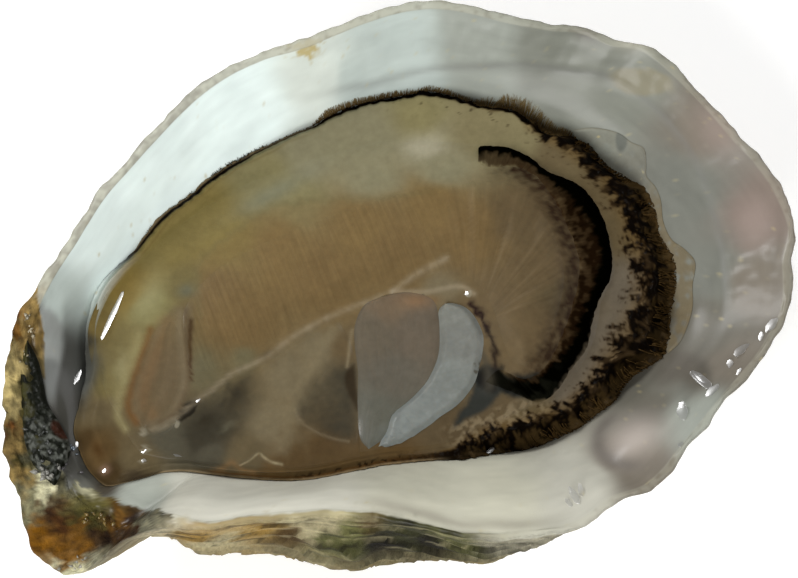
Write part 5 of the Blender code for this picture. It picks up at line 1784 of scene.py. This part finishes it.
# %% Splinters of shell
STREWN = [  # (x, y, spread across, spread along, how many, size, colour)
    (-44.8, -3.4, 1, 1.3, 14, 0.50, tone(58, 60, 56)),
    (-42, -5, 0.35, 0.6, 10, 0.34, tone(110, 120, 132)),
    (-45.8, -7.2, 0.9, 0.6, 14, 0.55, tone(120, 118, 110)),
    (-43.4, -6.8, 0.8, 0.7, 12, 0.45, tone(62, 58, 60)),
    (-42.5, 9.6, 0.3, 1.2, 9, 0.34, tone(160, 150, 124)),
    (-44, 6.2, 0.3, 0.8, 6, 0.30, tone(140, 128, 96)),
    (-46, -18.2, 1.2, 0.3, 8, 0.50, tone(150, 146, 130)),
    (-41.2, -14.4, 0.8, 0.7, 10, 0.40, tone(104, 84, 36)),
]
OCTAHEDRON = np.array([(1, 0, 0), (-1, 0, 0), (0, 1, 0), (0, -1, 0), (0, 0, 1), (0, 0, -1)], float)
OCTAHEDRON_FACES = [[0, 2, 4], [2, 1, 4], [1, 3, 4], [3, 0, 4], [2, 0, 5], [1, 2, 5], [3, 1, 5], [0, 3, 5]]
points, paint = [], []
for x, y, across, along, many, size, colour in STREWN:
    for _ in range(many):
        spin = Matrix.Rotation(RANDOM.uniform(0, 2 * pi), 3, Vector(RANDOM.normal(size=3)))
        half = size * RANDOM.uniform(0.5, 1.3)
        sized = half * np.array([1.0, RANDOM.uniform(0.5, 0.9), RANDOM.uniform(0.25, 0.5)])
        chip = (OCTAHEDRON + RANDOM.normal(0, 0.12, (6, 3))) * sized @ np.array(spin)
        place = np.array([[x + RANDOM.normal(0, across), y + RANDOM.normal(0, along)]])
        angle, reach = polar(place)
        inside = reach < around(RIM, angle) - around(RIM_TOP, angle)
        level = np.where(inside, nacre_height(place), plate_height(place)) + RANDOM.uniform(0.05, 0.45)
        points.append(chip + at_level(place, level))
        paint.append(np.tile(colour * RANDOM.uniform(0.6, 1.15), (6, 1)))
chips = as_piece("shell_splinters", joined(np.vstack(points), copies(OCTAHEDRON_FACES, 6, len(points))),
                 np.vstack(points), np.vstack(paint))
chip_finish = Finish("splinter", Roughness=0.35, Coat_Weight=0.5, Coat_Roughness=0.1)
settle(chips, chip_finish.done(Base_Color=chip_finish.attribute("paint")), "shell")

# %% [markdown]
# ## Liquor
# The oyster's own salt water beads on the pearl and on the skin. Every bead is a flat lens
# with a thin, bright film for its surface. Its top leans back and to the left, so that the
# lamp behind shows in it as a bright mark. Long beads gather where two surfaces meet.

# %% Beads of liquor
BEADS = [  # (x, y, half length, half width, turn)
    (-32.6, 9.4, 3.4, 0.34, 50), (-38.8, 3.6, 1, 0.36, 48), (42.9, -17.6, 1.1, 0.50, 35),
    (41.2, -18.5, 0.5, 0.30, 60), (38.4, -19.2, 1.1, 0.50, 20), (36.6, -20.4, 0.5, 0.35, 70),
    (32.6, -21.2, 1.6, 0.55, 120), (33.4, -23, 1.1, 0.45, 30), (29.1, -24.2, 1.2, 0.60, 75),
    (27.4, -28.4, 0.4, 0.30, 0), (13.2, -30.4, 1.2, 0.40, 100), (14.2, -29.8, 0.8, 0.28, 80),
    (12.3, -30.9, 0.6, 0.26, 110), (6.3, -20.4, 0.5, 0.30, 20), (-33.8, -7.8, 0.35, 0.25, 30),
    (-34.1, -9, 0.3, 0.25, 0), (-30, -9.6, 0.55, 0.2, -30), (-39, -8.7, 0.3, 0.2, 40),
    (-41.3, -4.6, 0.4, 0.25, 60), (9.6, -1.2, 0.3, 0.25, 60), (-25.7, -3.9, 0.3, 0.22, 20),
    (37.2, -21.8, 0.5, 0.2, 40),
]
BEAD_ROUND = 2.2                             # radius of a bead's top across it
BEAD_LEAN = np.array([0.30, -0.26])          # how its top rises to the right and sinks to the back
BEAD_LIFT = 0.06                             # its edge over the highest skin under it
BEAD_ROWS, BEAD_COLUMNS = 14, 24
shape = rolled_grid(BEAD_ROWS, BEAD_COLUMNS, ball)
unit = np.array([v.co for v in shape.verts])
bead_faces = [[v.index for v in face.verts] for face in shape.faces]
shape.free()
points = []
for x, y, long, wide, turned in BEADS:
    waver = 1 + 0.25 * fuzz(at_level(unit[:, :2] * 1.2, x), 1.0, 78)
    middle = [x, y] + on_plan(turned, unit[:, 0] * long * waver)
    plan = middle + on_plan(turned + 90, unit[:, 1] * wide * waver)
    top = wide ** 2 / 2 / BEAD_ROUND * (1 - np.hypot(*unit[:, :2].T) ** 2)
    level = lie_of_skin(middle).max() + BEAD_LIFT + (plan - middle) @ BEAD_LEAN
    points.append(at_level(plan, level + np.where(unit[:, 2] > 0, top, unit[:, 2])))
beads = as_piece("liquor_beads", joined(np.vstack(points), copies(bead_faces, len(unit), len(points))),
                 np.vstack(points))
liquor = Finish("liquor_film", Base_Color=(1, 1, 1, 1), Metallic=1.0, Roughness=0.3, Alpha=0.3)
settle(beads, liquor.done(), "mantle")
